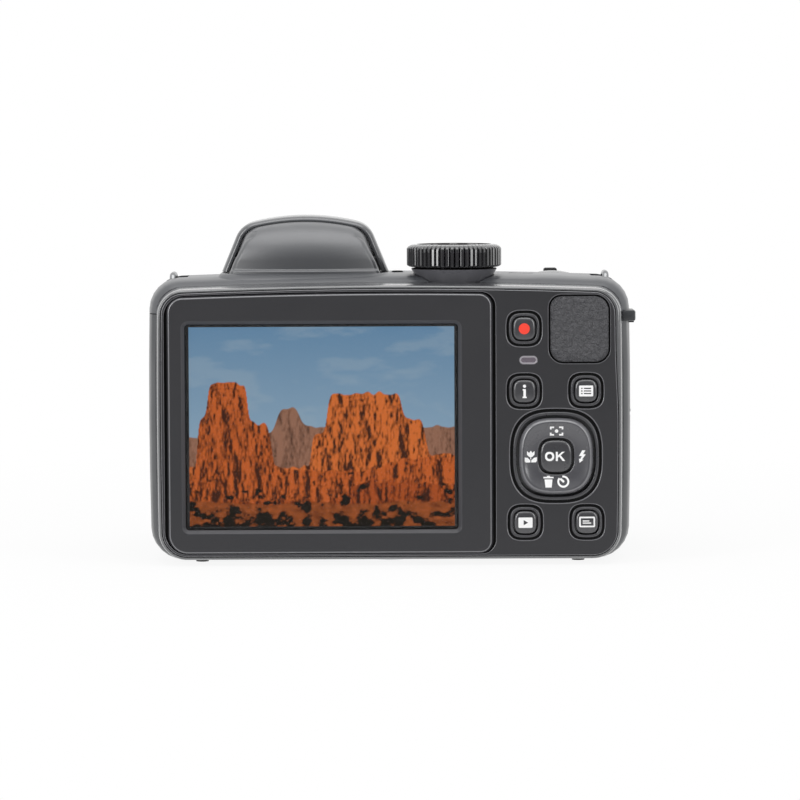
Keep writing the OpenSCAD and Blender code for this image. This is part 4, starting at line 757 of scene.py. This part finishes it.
KEY_TOP, DISH_TOP = -0.985, -0.06
for key in ("play", "menu", "info", "display"):
    piece(f"{key}_sign", sign(key, KEYS[key], KEY_TOP), [white_ink], f"{key}_key")
piece("record_sign", sign("dot", KEYS["record"], KEY_TOP), [red_ink], "record_key")
piece("centre_sign", sign("okay", PAD + (-0.25, 0), KEY_TOP - SET_RAISE), [white_ink], "set_key")
round_pad = {"focus": (0.1, 5.75), "flower": (-5.75, -0.05), "bolt": (5.85, -0.05), "bin": (-1.75, -5.75),
             "timer": (1.6, -5.75)}
pad_signs = [patch for kind, at in round_pad.items()
             for patch in sign(kind, PAD + at, DISH_TOP, 0.95 if kind == "focus" else 1.0, dished=True)]
piece("pad_signs", pad_signs, [white_ink], "pad")

# %% [markdown]
# ## Thumb rest
# A plate of pebbled rubber let into the housing under the thumb. It is a profile with a soft shoulder,
# carried round a rounded rectangle; the pebbles are left to the finish, because they are far finer than
# any fillet on the part.

# %% Thumb rest
REST = [(0.0, 0.58), (0.0, -0.2), (-0.03, -0.36), (-0.12, -0.5), (-0.3, -0.62), (-0.6, -0.72), (-1.0, -0.8),
        (-1.5, -0.84)]
sides = carried(lambda grow: box_outline(THUMB, THUMB_W, THUMB_H, THUMB_R, grow), REST)
under, middle = (np.array([THUMB[0], REAR + d, THUMB[1]]) for d in (REST[0][1], -0.86))
top = middle + np.linspace(0.85, 0, 8)[:, None, None] * (sides[-1] - middle)
piece("thumb_plate", closed(sides, under, top), [grain_rubber], "body", ["thumb_rest"])

# %% [markdown]
# The lamp under the record button is a smoked window in a frosted rim, one small two-shot moulding.

# %% Lamp window
WINDOW = [(-0.04, 1.6), (-0.04, -0.02), (-0.1, -0.08), (-0.2, -0.1), (-0.32, -0.07), (-0.4, 0.02)]
(back_edge, back_depth), (front_edge, front_depth) = WINDOW[0], WINDOW[-1]
piece("lamp_window", [grid(carried(lamp_hole, WINDOW)), fill([lamp_hole(front_edge)], REAR + front_depth, 1),
                      fill([lamp_hole(back_edge)], REAR + back_depth)],
      [lamp_rim, lamp_smoke], "body", ["status_lamp"])

# %% [markdown]
# ## Flash hump
# The hump is two pieces: a drum that stays, and a cowl that lifts off it about a pin. Seen from behind, the
# cowl is the arch-shaped rim and the drum is the panel inside it. The drum is the arch turned about the pin,
# which is why the cowl sweeps clear of it; a small sill runs along its foot.

# %% Arch, drum and cowl
HUMP_X, HUMP_Z, HUMP_HW, HUMP_H, HUMP_CROWN = -19.4, 66.25, 19.3, 12.7, 52.0
HINGE_Y, HINGE_Z, HINGE_UP, LEAN = 2.0, 68.85, 2.6, math.radians(22.5)


def arch(hw, h, r, n=14):
    """Right half: a leaning flank, a shoulder arc that touches it and a crown arc; mirrored to the left."""
    along, out = np.array([-math.sin(LEAN), math.cos(LEAN)]), np.array([math.cos(LEAN), math.sin(LEAN)])
    foot, hub = np.array([hw, 0.0]), np.array([0.0, h - HUMP_CROWN])
    q = foot - r * out - hub
    run = -q @ along + math.sqrt((q @ along) ** 2 - q @ q + (HUMP_CROWN - r) ** 2)
    centre = foot + run * along - r * out
    meet = math.atan2(centre[1] - hub[1], centre[0])
    turn, sweep = np.linspace(LEAN, meet, n), np.linspace(meet, math.pi / 2, n)[1:]
    flank = foot + np.linspace(0, 1, 6)[:-1, None] * (centre + r * out - foot)
    shoulder = centre + r * np.column_stack([np.cos(turn), np.sin(turn)])
    crown = hub + HUMP_CROWN * np.column_stack([np.cos(sweep), np.sin(sweep)])
    half = np.concatenate([flank, shoulder, crown])
    return np.concatenate([half, half[-2::-1] * [-1, 1]])


# the drum: half-width, height, share of its height where the panel ends, edge radius; the sill at its foot
DRUM_HW, DRUM_H, REACH, EDGE = HUMP_HW - 2.1, HUMP_H - 1.25, math.cos(math.radians(40)), 1.1
DRUM_R, SILL, SILL_Z, SILL_RUN, FOOT = DRUM_H - HINGE_UP, 0.75, 0.75, 0.5, 1.2
side = arch(DRUM_HW, DRUM_H, 4.5, n=40)
side = side[:len(side) // 2 + 1]


def half_width(up):
    """Half-width of the drum's section at a height over the hinge; below its foot the flank runs on."""
    z = up + HINGE_UP
    return np.where(z < 0, DRUM_HW - z * math.tan(LEAN), np.interp(z, side[:, 1], side[:, 0]))


def height(x):
    """Height of the drum's section over the hinge at a distance from its middle."""
    return np.maximum(np.interp(np.abs(x), side[::-1, 0], side[::-1, 1]) - HINGE_UP, 0)


up = np.concatenate([np.linspace(-HINGE_UP - FOOT, 0, 26)[:-1],
                     DRUM_R * np.sin(np.linspace(0, np.pi / 2, 90))])[:, None]
full = half_width(up)
face = np.where(up > 0, np.where(up < REACH * DRUM_R, half_width(np.minimum(up / REACH, DRUM_R)), 0), full)
inner = np.sin(np.linspace(-np.pi / 2, np.pi / 2, 141))
outer = np.linspace(0, 1, 14)
flank = face + (full - face) * outer
x = np.concatenate([-flank[:, ::-1], face * inner, flank], axis=1)
on_face = np.concatenate([0 * outer, 1 + 0 * inner, 0 * outer]) > 0
turned = np.sqrt(np.maximum(height(x) ** 2 - up**2, 0))
crown = DRUM_R - HUMP_CROWN + np.sqrt(HUMP_CROWN**2 - x**2)
rolled = np.sqrt(np.maximum(crown**2 - np.maximum(up, 0) ** 2, 0))
near = np.clip(1 - (face - np.abs(x)) / EDGE, 0, 1)
rounded_off = rolled - EDGE * (1 - np.sqrt(1 - near**2))
sill = on_face * SILL * smooth((SILL_Z - up - HINGE_UP) / SILL_RUN)
bulge = np.where(on_face, np.maximum(rounded_off, turned), turned) + sill
z = HUMP_Z + HINGE_UP + up + 0 * x
behind = np.stack([HUMP_X + x, HINGE_Y - bulge, z], axis=-1)
ahead = np.stack([HUMP_X + x, HINGE_Y + turned, z], axis=-1)
piece("flash_drum_panel", [grid(behind, wrap=False), grid(ahead, wrap=False),
                           grid([behind[0], ahead[0]], wrap=False)],
      [drum_abs], "body", ["flash_drum"], sharp=50)

# sections along the cowl: share of its length, of its half-width, of its height
RINGS = np.array([[0, 1, 1], [0.26, 0.99, 1.01], [0.57, 0.94, 0.95], [0.805, 0.87, 0.82],
                  [0.935, 0.81, 0.69], [1, 0.74, 0.58]])
COWL_L, NOSE = 38.5, 0.955


def eased(t, column):
    """Cubic through the rings: each stretch keeps the mean slope of its neighbours at both ends."""
    at, value = RINGS[:, 0], RINGS[:, column]
    slope = np.gradient(value, at)
    k = np.clip(np.searchsorted(at, t, side="right") - 1, 0, len(at) - 2)
    w = at[k + 1] - at[k]
    s = (t - at[k]) / w
    return ((2 * s**3 - 3 * s**2 + 1) * value[k] + (s**3 - 2 * s**2 + s) * w * slope[k]
            + (3 * s**2 - 2 * s**3) * value[k + 1] + (s**3 - s**2) * w * slope[k + 1])


def cowl_arch(t, soft):
    """Outer section of the cowl at a share of its length, drawn in by a softening."""
    return arch(HUMP_HW * eased(t, 1) - soft, HUMP_H * eased(t, 2) - 0.8 * soft, 5.5) + [HUMP_X, HUMP_Z]


def cowl_hollow(t, soft):
    """Inner section: 1.7 mm inside the flanks, 1.3 mm under the crown, widened a little by a softening."""
    hw, h = HUMP_HW * eased(t, 1) - 1.7 + 0.15 * soft, HUMP_H * eased(t, 2) - 1.1 + 0.1 * soft
    return arch(hw, h, 4.4) + [HUMP_X, HUMP_Z - 0.2]


def along_cowl(section, stops):
    """Rows of points: a section at each (share of the length, softening)."""
    return [flat(section(t, soft), HINGE_Y + COWL_L * t) for t, soft in stops]


ROUND = 1.25
roll = np.linspace(0, np.pi / 2, 9)
rim = np.column_stack([1.6 * ROUND * (1 - np.cos(roll)) / COWL_L, ROUND * (1 - np.sin(roll))])
stops = [*rim, *((t, 0.0) for t in np.linspace(0.08, NOSE, 26))]
nose_stops = [(NOSE, 0.0), (0.975, 0.0), (0.99, 0.12), (0.997, 0.35), (1.0, 0.7)]
window = bar(HUMP_X - 11.3, HUMP_X + 11.3, HUMP_Z + 1.2, HUMP_Z + 5.6)
outside, hollow = (np.array(along_cowl(section, stops)) for section in (cowl_arch, cowl_hollow))
cowl = [grid(np.concatenate([outside, hollow[:, ::-1]], axis=1)),
        grid([flat(section(*rim[0]), HINGE_Y) for section in (cowl_arch, cowl_hollow)], wrap=False),
        grid(along_cowl(cowl_arch, nose_stops)),
        fill([cowl_arch(*nose_stops[-1]), window], HINGE_Y + COWL_L),
        fill([cowl_hollow(NOSE, 0.0), window], HINGE_Y + NOSE * COWL_L),
        grid(along_cowl(lambda t, soft: window, (nose_stops[0], nose_stops[-1])))]
for side_sign in (1, -1):
    # a rib inside each wall keeps light from showing past the drum
    rib = loop((17.4, -0.1), (17.4, 0.6), (16.3, 3.2), (14.6, 3.2), (15.2, -0.1)) * [side_sign, 1]
    rib, rib_ends = np.array([HUMP_X, HUMP_Z]) + rib, (HINGE_Y + 1.5, HINGE_Y + 2.6)
    cowl += [grid([flat(rib, y) for y in rib_ends])] + [fill([rib], y) for y in rib_ends]
piece("flash_cowl_shell", cowl, [shell_abs], "flash", ["flash_cowl"])

# %% [markdown]
# The deck rises a little to meet the hump: a low step runs round the cowl's sides and behind the panel. It
# is a closed profile carried along the hump's plan, wide behind and steep at the sides. The hinge pin is
# turned steel, blackened, and ends inside the cowl's walls.

# %% Step of the deck under the hump, and the hinge pin
# profile of the step: way out from the hump's plan, height
STEP = np.array([(-2.5, 64.2), (-2.5, 66.0), (-0.2, 66.0), (0.1, 65.97), (0.5, 65.86), (1.0, 65.63),
                 (1.6, 65.3), (2.3, 64.9), (3.0, 64.2)])
SIDE_END, SIDE_PUSH, BEHIND, SQUARE = 0.36, 0.45, 9.3, 0.4
t_side = np.linspace(SIDE_END, 0, 12)[:-1]
side_x, side_y = HUMP_HW * eased(t_side, 1), HINGE_Y + COWL_L * t_side
a = np.linspace(0, np.pi, 90)
corner_x, corner_y = np.sign(np.cos(a)) * np.abs(np.cos(a)) ** SQUARE, np.sin(a) ** SQUARE
path = np.column_stack([np.concatenate([side_x, HUMP_HW * corner_x, -side_x[::-1]]),
                        np.concatenate([side_y, HINGE_Y - BEHIND * corner_y, side_y[::-1]])])
push = np.column_stack([SIDE_PUSH * np.concatenate([1 + 0 * side_x, corner_x, -1 + 0 * side_x]),
                        np.concatenate([0 * side_y, -corner_y, 0 * side_y])])
plan = path[:, None] + STEP[None, :, :1] * push[:, None]
step = np.stack([HUMP_X + plan[..., 0], plan[..., 1], np.broadcast_to(STEP[:, 1], plan.shape[:2])], axis=-1)
ends = [(step[i], np.arange(len(STEP))[None], 0) for i in (0, -1)]
piece("hump_step", [grid(step)] + ends, [deck_abs], "body", sharp=50)

a = np.linspace(0, 2 * np.pi, 32, endpoint=False)
PIN = [(0, -16.3), (0.7, -16.3), (0.88, -16.1), (0.88, 16.1), (0.7, 16.3), (0, 16.3)]
pin = [np.column_stack([HUMP_X + x + 0 * a, HINGE_Y + r * np.cos(a), HINGE_Z + r * np.sin(a)])
       for r, x in PIN]
piece("hinge_pin", [grid(pin)], [dark_steel], "body", ["flash_hinge_pin"])

# %% [markdown]
# ## Mode dial
# Sixty flutes round a glossy black drum run on over its round shoulder and end in points near the top. Those
# points need no modelling: the cut of a flute is taken off the radius, and it fades along the shoulder. The
# collar under it is a plain cone, which sits in both covers.

# %% Dial and collar
DIAL_X, DIAL_Y, DIAL_R, FLUTES, FLUTE_CUT = 14.9, -4.5, 10.84, 60, 0.6
SHOULDER_W, SHOULDER_H, SHOULDER_Z, SIGN_R, SIGN_Z = 2.3, 1.15, 71.45, 6.1, 72.44
a = np.linspace(0, 2 * np.pi, FLUTES * 14, endpoint=False)
from_rib = np.abs((FLUTES / 2 * a / np.pi) % 1 - 0.5) * 2
notch = FLUTE_CUT * np.clip((from_rib - 0.5) / 0.42, 0, 1) ** 1.4
WALL = [(0, 60.6), (5.6, 60.6), (5.6, 61.8), (2.4, 61.8), (2.4, 67.4), (9.7, 67.4), (10.05, 67.42),
        (10.5, 67.6), (10.72, 67.76), (DIAL_R, 67.95), (DIAL_R, 69.4), (DIAL_R, 70.8), (DIAL_R, SHOULDER_Z)]
curl = np.radians(np.linspace(6, 90, 15))
ROUNDED = [(DIAL_R - SHOULDER_W * (1 - math.cos(t)), SHOULDER_Z + SHOULDER_H * math.sin(t)) for t in curl]
TOP = [(8.3, 72.6), (8.2, 72.58), (8.1, 72.48), (8.0, 72.42), (4.0, 72.4), (0, 72.4)]
LATHE = WALL + ROUNDED + TOP
cut = np.concatenate([np.clip(np.array(WALL)[:, :1] - DIAL_R + notch, 0, None),
                      (1 - (2 * curl / np.pi) ** 2)[:, None] * notch, np.zeros((len(TOP), len(a)))])


def lathe(centre, profile, a, cut=0.0):
    """Turns a profile of (radius, height) about a vertical axis; a cut is taken off the radius."""
    r, z = np.array(profile, float).T
    r = r[:, None] - cut + 0 * a
    x, y = centre[0] + r * np.cos(a), centre[1] + r * np.sin(a)
    return np.stack([x, y, np.broadcast_to(z[:, None], r.shape)], axis=-1)


dial_rows = lathe((DIAL_X, DIAL_Y), LATHE, a, cut)
flat_top = len(WALL) + len(curl) - 1
piece("fluted_dial", [grid(dial_rows, strips(LATHE, (0, 6, 1), (flat_top, len(LATHE), 1)))],
      [dial_abs, matt_abs], "dial", ["mode_dial"], sharp=28)
dial_signs = []
for number, kind in enumerate(("play", "flower", "focus", "bolt", "timer", "menu", "display", "dot")):
    turn = 2 * math.pi * number / 8
    away = np.array([-math.sin(turn), -math.cos(turn)])
    aside = np.array([math.cos(turn), -math.sin(turn)])
    for points, cells, finish in sign(kind, (0, 0), 0.0, 0.72):
        spot = (DIAL_X, DIAL_Y) + (SIGN_R - points[:, 2:]) * away + points[:, :1] * aside
        dial_signs.append((np.column_stack([spot, SIGN_Z - 0.15 * (points[:, 1] - REAR)]), cells, finish))
piece("dial_signs", dial_signs, [white_ink], "dial")
round_a = np.linspace(0, 2 * np.pi, 160, endpoint=False)
CONE = [(2.46, 62.4), (7.2, 62.4), (7.4, 62.6), (7.4, 63.4), (7.8, 63.42), (8.4, 64.5), (9.2, 65.9),
        (9.72, 66.82), (9.78, 66.98), (9.7, 67.1), (2.46, 67.1), (2.46, 62.4)]
piece("dial_collar_cone", [grid(lathe((DIAL_X, DIAL_Y), CONE, round_a), strips(CONE, (8, 11, 1)))],
      [collar_abs, matt_abs], "body", ["dial_collar"])

# %% [markdown]
# Two small buttons lie on the deck: the power button flush with it, the flash button a hair above. Each is
# a turned cap with a soft edge and a flange under the deck.


# %% Deck buttons
def cad_limits(node):
    """Lowest and highest corner of a CAD node's box, in millimetres."""
    corners = np.array([corner[:] for corner in cad[node].bound_box]) / MM
    return corners.min(axis=0), corners.max(axis=0)


def deck_cap(name, node, flange, radius, top, finish):
    """Turned cap at a CAD button's place: flange at its lowest height, stem, soft edge at the top."""
    low, high = cad_limits(node)
    base = low[2]
    profile = [(0, base), (flange, base), (flange, base + 0.7), (radius, base + 0.7), (radius, top - 0.2),
               (radius - 0.08, top - 0.06), (radius - 0.28, top), (radius / 2, top - 0.04), (0, top - 0.06)]
    cap_rows = lathe((low + high)[:2] / 2, profile, round_a)
    piece(name, [grid(cap_rows)], [finish], cad[node]["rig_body"], [node])


deck_cap("power_cap", "power_button", 3.4, 2.78, 65.58, deck_abs)
deck_cap("flash_cap", "flash_button", 2.1, 1.3, 66.25, matt_abs)

# %% [markdown]
# Two small bars are there for a finger to find: the pull tab at the flap's upper rear corner and the rubber
# tip of the zoom lever. Each is a rounded rectangle carried along its length and drawn in at both ends.


# %% Tabs
def tab(name, at, w, h, y0, length, finish, node):
    """Rounded bar along y, w by h about a centre in x and z, that rides with a CAD node."""
    ends = [(0.4, 0.0), (0.12, 0.1), (0.0, 0.4), (0.0, length - 0.4), (0.12, length - 0.1), (0.4, length)]
    rows = [box_outline(at, w, h, 0.5, -inset, n=6, m=2) for inset, _ in ends]
    piece(name, [grid([flat(row, y0 + along) for row, (_, along) in zip(rows, ends)]),
                 fill([rows[0]], y0), fill([rows[-1]], y0 + length)],
          [finish], cad[node]["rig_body"])


tab("pull_tab", (54.65, 56.3), 3.05, 2.5, -10.9, 8.4, low_abs, "port_door")
lever_low, lever_high = cad_limits("zoom_lever")
tab("lever_tip", ((lever_low + lever_high)[0] / 2, lever_high[2] - 0.07), 3.2, 1.85, lever_high[1] - 3.4, 3.2,
    plain_rubber, "zoom_lever")

# %% [markdown]
# ## Parts that keep their CAD shape
# The shells, the lens tubes and everything inside already have the right shape. A shell's flat facets would
# show as stripes, so the outer ones are copied, their loose triangles are merged and they are smoothed below
# an angle. Parts inside the camera keep the CAD mesh and only get their finish.


# %% Smoothed copies and finishes for the rest
def smoothed(node, finish, sharp=32):
    """Copy of a CAD node with its points merged, smooth where two faces meet at less than an angle."""
    mesh = cad[node].data.copy()
    mesh.name = node + "_smooth"
    if "custom_normal" in mesh.attributes:
        mesh.attributes.remove(mesh.attributes["custom_normal"])
    with reworked(mesh) as work:
        bmesh.ops.remove_doubles(work, verts=work.verts[:], dist=0.003 * MM)
    mesh.materials.clear()
    made = shown(mesh.name, mesh, [finish], sharp)
    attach(made, cad[node]["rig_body"])
    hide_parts(node)


OUTSIDE = {deck_abs: "top_cover", low_abs: "front_cover", door_abs: "port_door battery_door",
           grain_rubber: "grip_rubber",
           tube_abs: "barrel_sleeve lens_barrel middle_tube front_tube front_ring",
           optic: "front_lens zoom_lens", shell_abs: "shutter_button zoom_lever",
           bright_steel: "strap_lugs", plain_rubber: "feet", cap_abs: "battery_latch",
           steel: "tripod_socket case_screws", lamp_amber: "af_lamp", diffuser: "flash_window"}
INSIDE = {clear_cover: "lcd_window", screen_black: "lcd_panel image_sensor", silicone: "keypad_mat",
          aluminium: "lcd_tray sensor_plate nav_rocker", solder_mask: "key_board main_board top_board",
          tube_abs: "relay_cell flash_floor port_block battery_holder", mirror: "flash_reflector",
          diffuser: "flash_tube", steel: "port_door_pin battery_door_pin", cell_wrap: "battery",
          can_wrap: "flash_capacitor"}
for finish, nodes in OUTSIDE.items():
    for node in nodes.split():
        smoothed(node, finish)
for finish, nodes in INSIDE.items():
    for node in nodes.split():
        cad[node].data.materials.clear()
        cad[node].data.materials.append(finish)
print("smoothed", [*OUTSIDE.values()], "kept", [*INSIDE.values()])

# %% [markdown]
# ## Floor, light and camera
# A product photograph is taken on a white sweep under soft light. The floor keeps a faint shadow under the
# feet. It and the world are white to the camera, and dimmer towards the photographer in what mirrors them. A
# wide lamp overhead draws the bright upper edges, and two tall ones in front keep the matt face readable.


# %% Stage
def blend(tree, factor, first, second):
    """Number between two others, by a factor."""
    return add(tree, "Mix", {0: factor, 2: first, 3: second}), 0


def rays(tree):
    """Factors by kind of ray: seen by the camera, straight or through glass; seen in a mirroring surface."""
    path = add(tree, "LightPath")
    eye = {0: (path, "Is Camera Ray"), 1: (path, "Is Transmission Ray")}
    return (add(tree, "Math", eye, operation="MAXIMUM"), "Value"), (path, "Is Glossy Ray")


AMBIENT = 0.5
paper = bpy.data.materials.new("paper_white_sweep")
tree = bare_tree(paper)
place = (add(tree, "TexCoord"), "Object")
eye, mirrored = rays(tree)
# near the camera's feet the paper keeps its shadow; a hand's breadth further out it is plain white
away = add(tree, "VectorMath", {0: place}, operation="LENGTH")
seen = blend(tree, eye, mirrored, ramp(tree, (away, "Value"), 0.06, 0.3, 0.9, 1.0))
# in what mirrors it, the paper is dimmer towards the photographer
axes = add(tree, "SeparateXYZ", {"Vector": place})
level = blend(tree, eye, ramp(tree, (axes, "Y"), -0.3, -0.02, 0.2, 0.9), 1.0)
matt = add(tree, "BsdfDiffuse", {"Color": srgb("#F4F4F4")})
shine = add(tree, "Emission", {"Color": srgb("#FFFFFF"), "Strength": level})
both = add(tree, "MixShader", {0: seen, 1: (matt, "BSDF"), 2: (shine, "Emission")})
add(tree, "OutputMaterial", {"Surface": (both, "Shader")})
gx, gy = np.meshgrid(np.linspace(-4, 4, 9), np.linspace(-4, 4, 9))
floor_mesh = bpy.data.meshes.new("floor")
floor_points, floor_quads, _ = grid(np.stack([gx, gy, 0 * gx], axis=-1), wrap=False)
floor_mesh.from_pydata(floor_points, [], floor_quads.tolist())
floor_mesh.materials.append(paper)
floor = linked(bpy.data.objects.new("floor", floor_mesh))

# the room is white to the eye, dim on the photographer's side in mirrors, ambient light for the rest
world = bpy.data.worlds.new("white_room")
bpy.context.scene.world = world
tree = bare_tree(world)
eye, mirrored = rays(tree)
axes = add(tree, "SeparateXYZ", {"Vector": (add(tree, "TexCoord"), "Generated")})
behind_it = ramp(tree, (axes, "Y"), -0.95, -0.25, 0.15, 1.0)
above = ramp(tree, (axes, "Z"), 0.2, 0.85, 0.15, 1.0)
room = (add(tree, "Math", {0: behind_it, 1: above}, operation="MAXIMUM"), "Value")
strength = blend(tree, eye, blend(tree, mirrored, AMBIENT, room), 1.0)
sky = add(tree, "Background", {"Color": srgb("#FFFFFF"), "Strength": strength})
add(tree, "OutputWorld", {"Surface": (sky, "Background")})

# a wide box overhead, and a tall one on each side of the photographer that draws streaks on round parts
LAMPS = {"overhead": ((0.0, -0.15, 0.8), 0.9, 0.7, 3.2), "left": ((-0.68, -0.62, 0.35), 0.3, 0.7, 3.3),
         "right": ((0.68, -0.62, 0.35), 0.3, 0.7, 2.2)}
AIM = (0, 0, 0.035)
for name, (at, wide, tall, power) in LAMPS.items():
    lamp = bpy.data.lights.new(name, "AREA")
    lamp.shape, lamp.size, lamp.size_y, lamp.energy = "RECTANGLE", wide, tall, power
    holder = linked(bpy.data.objects.new(name, lamp))
    holder.location = at
    holder.rotation_euler = (Vector(AIM) - Vector(at)).to_track_quat("-Z", "Y").to_euler()

# %% Camera
ELEVATION, ROLL, DISTANCE = 4.0, -0.25, 900.0
target = np.array([2.38, REAR, 37.73])
lift = math.radians(ELEVATION)
spot = (target + DISTANCE * np.array([0, -math.cos(lift), math.sin(lift)])) * MM
lens = bpy.data.cameras.new("photo_camera")
lens.sensor_width, lens.lens, lens.clip_end = 36.0, 178.8, 20.0
camera = linked(bpy.data.objects.new("photo_camera", lens))
camera.matrix_world = (Matrix.Translation(spot) @ Matrix.Rotation(math.radians(90 - ELEVATION), 4, "X")
                       @ Matrix.Rotation(math.radians(ROLL), 4, "Z"))
bpy.context.scene.camera = camera
bpy.context.scene.view_settings.view_transform = "Standard"
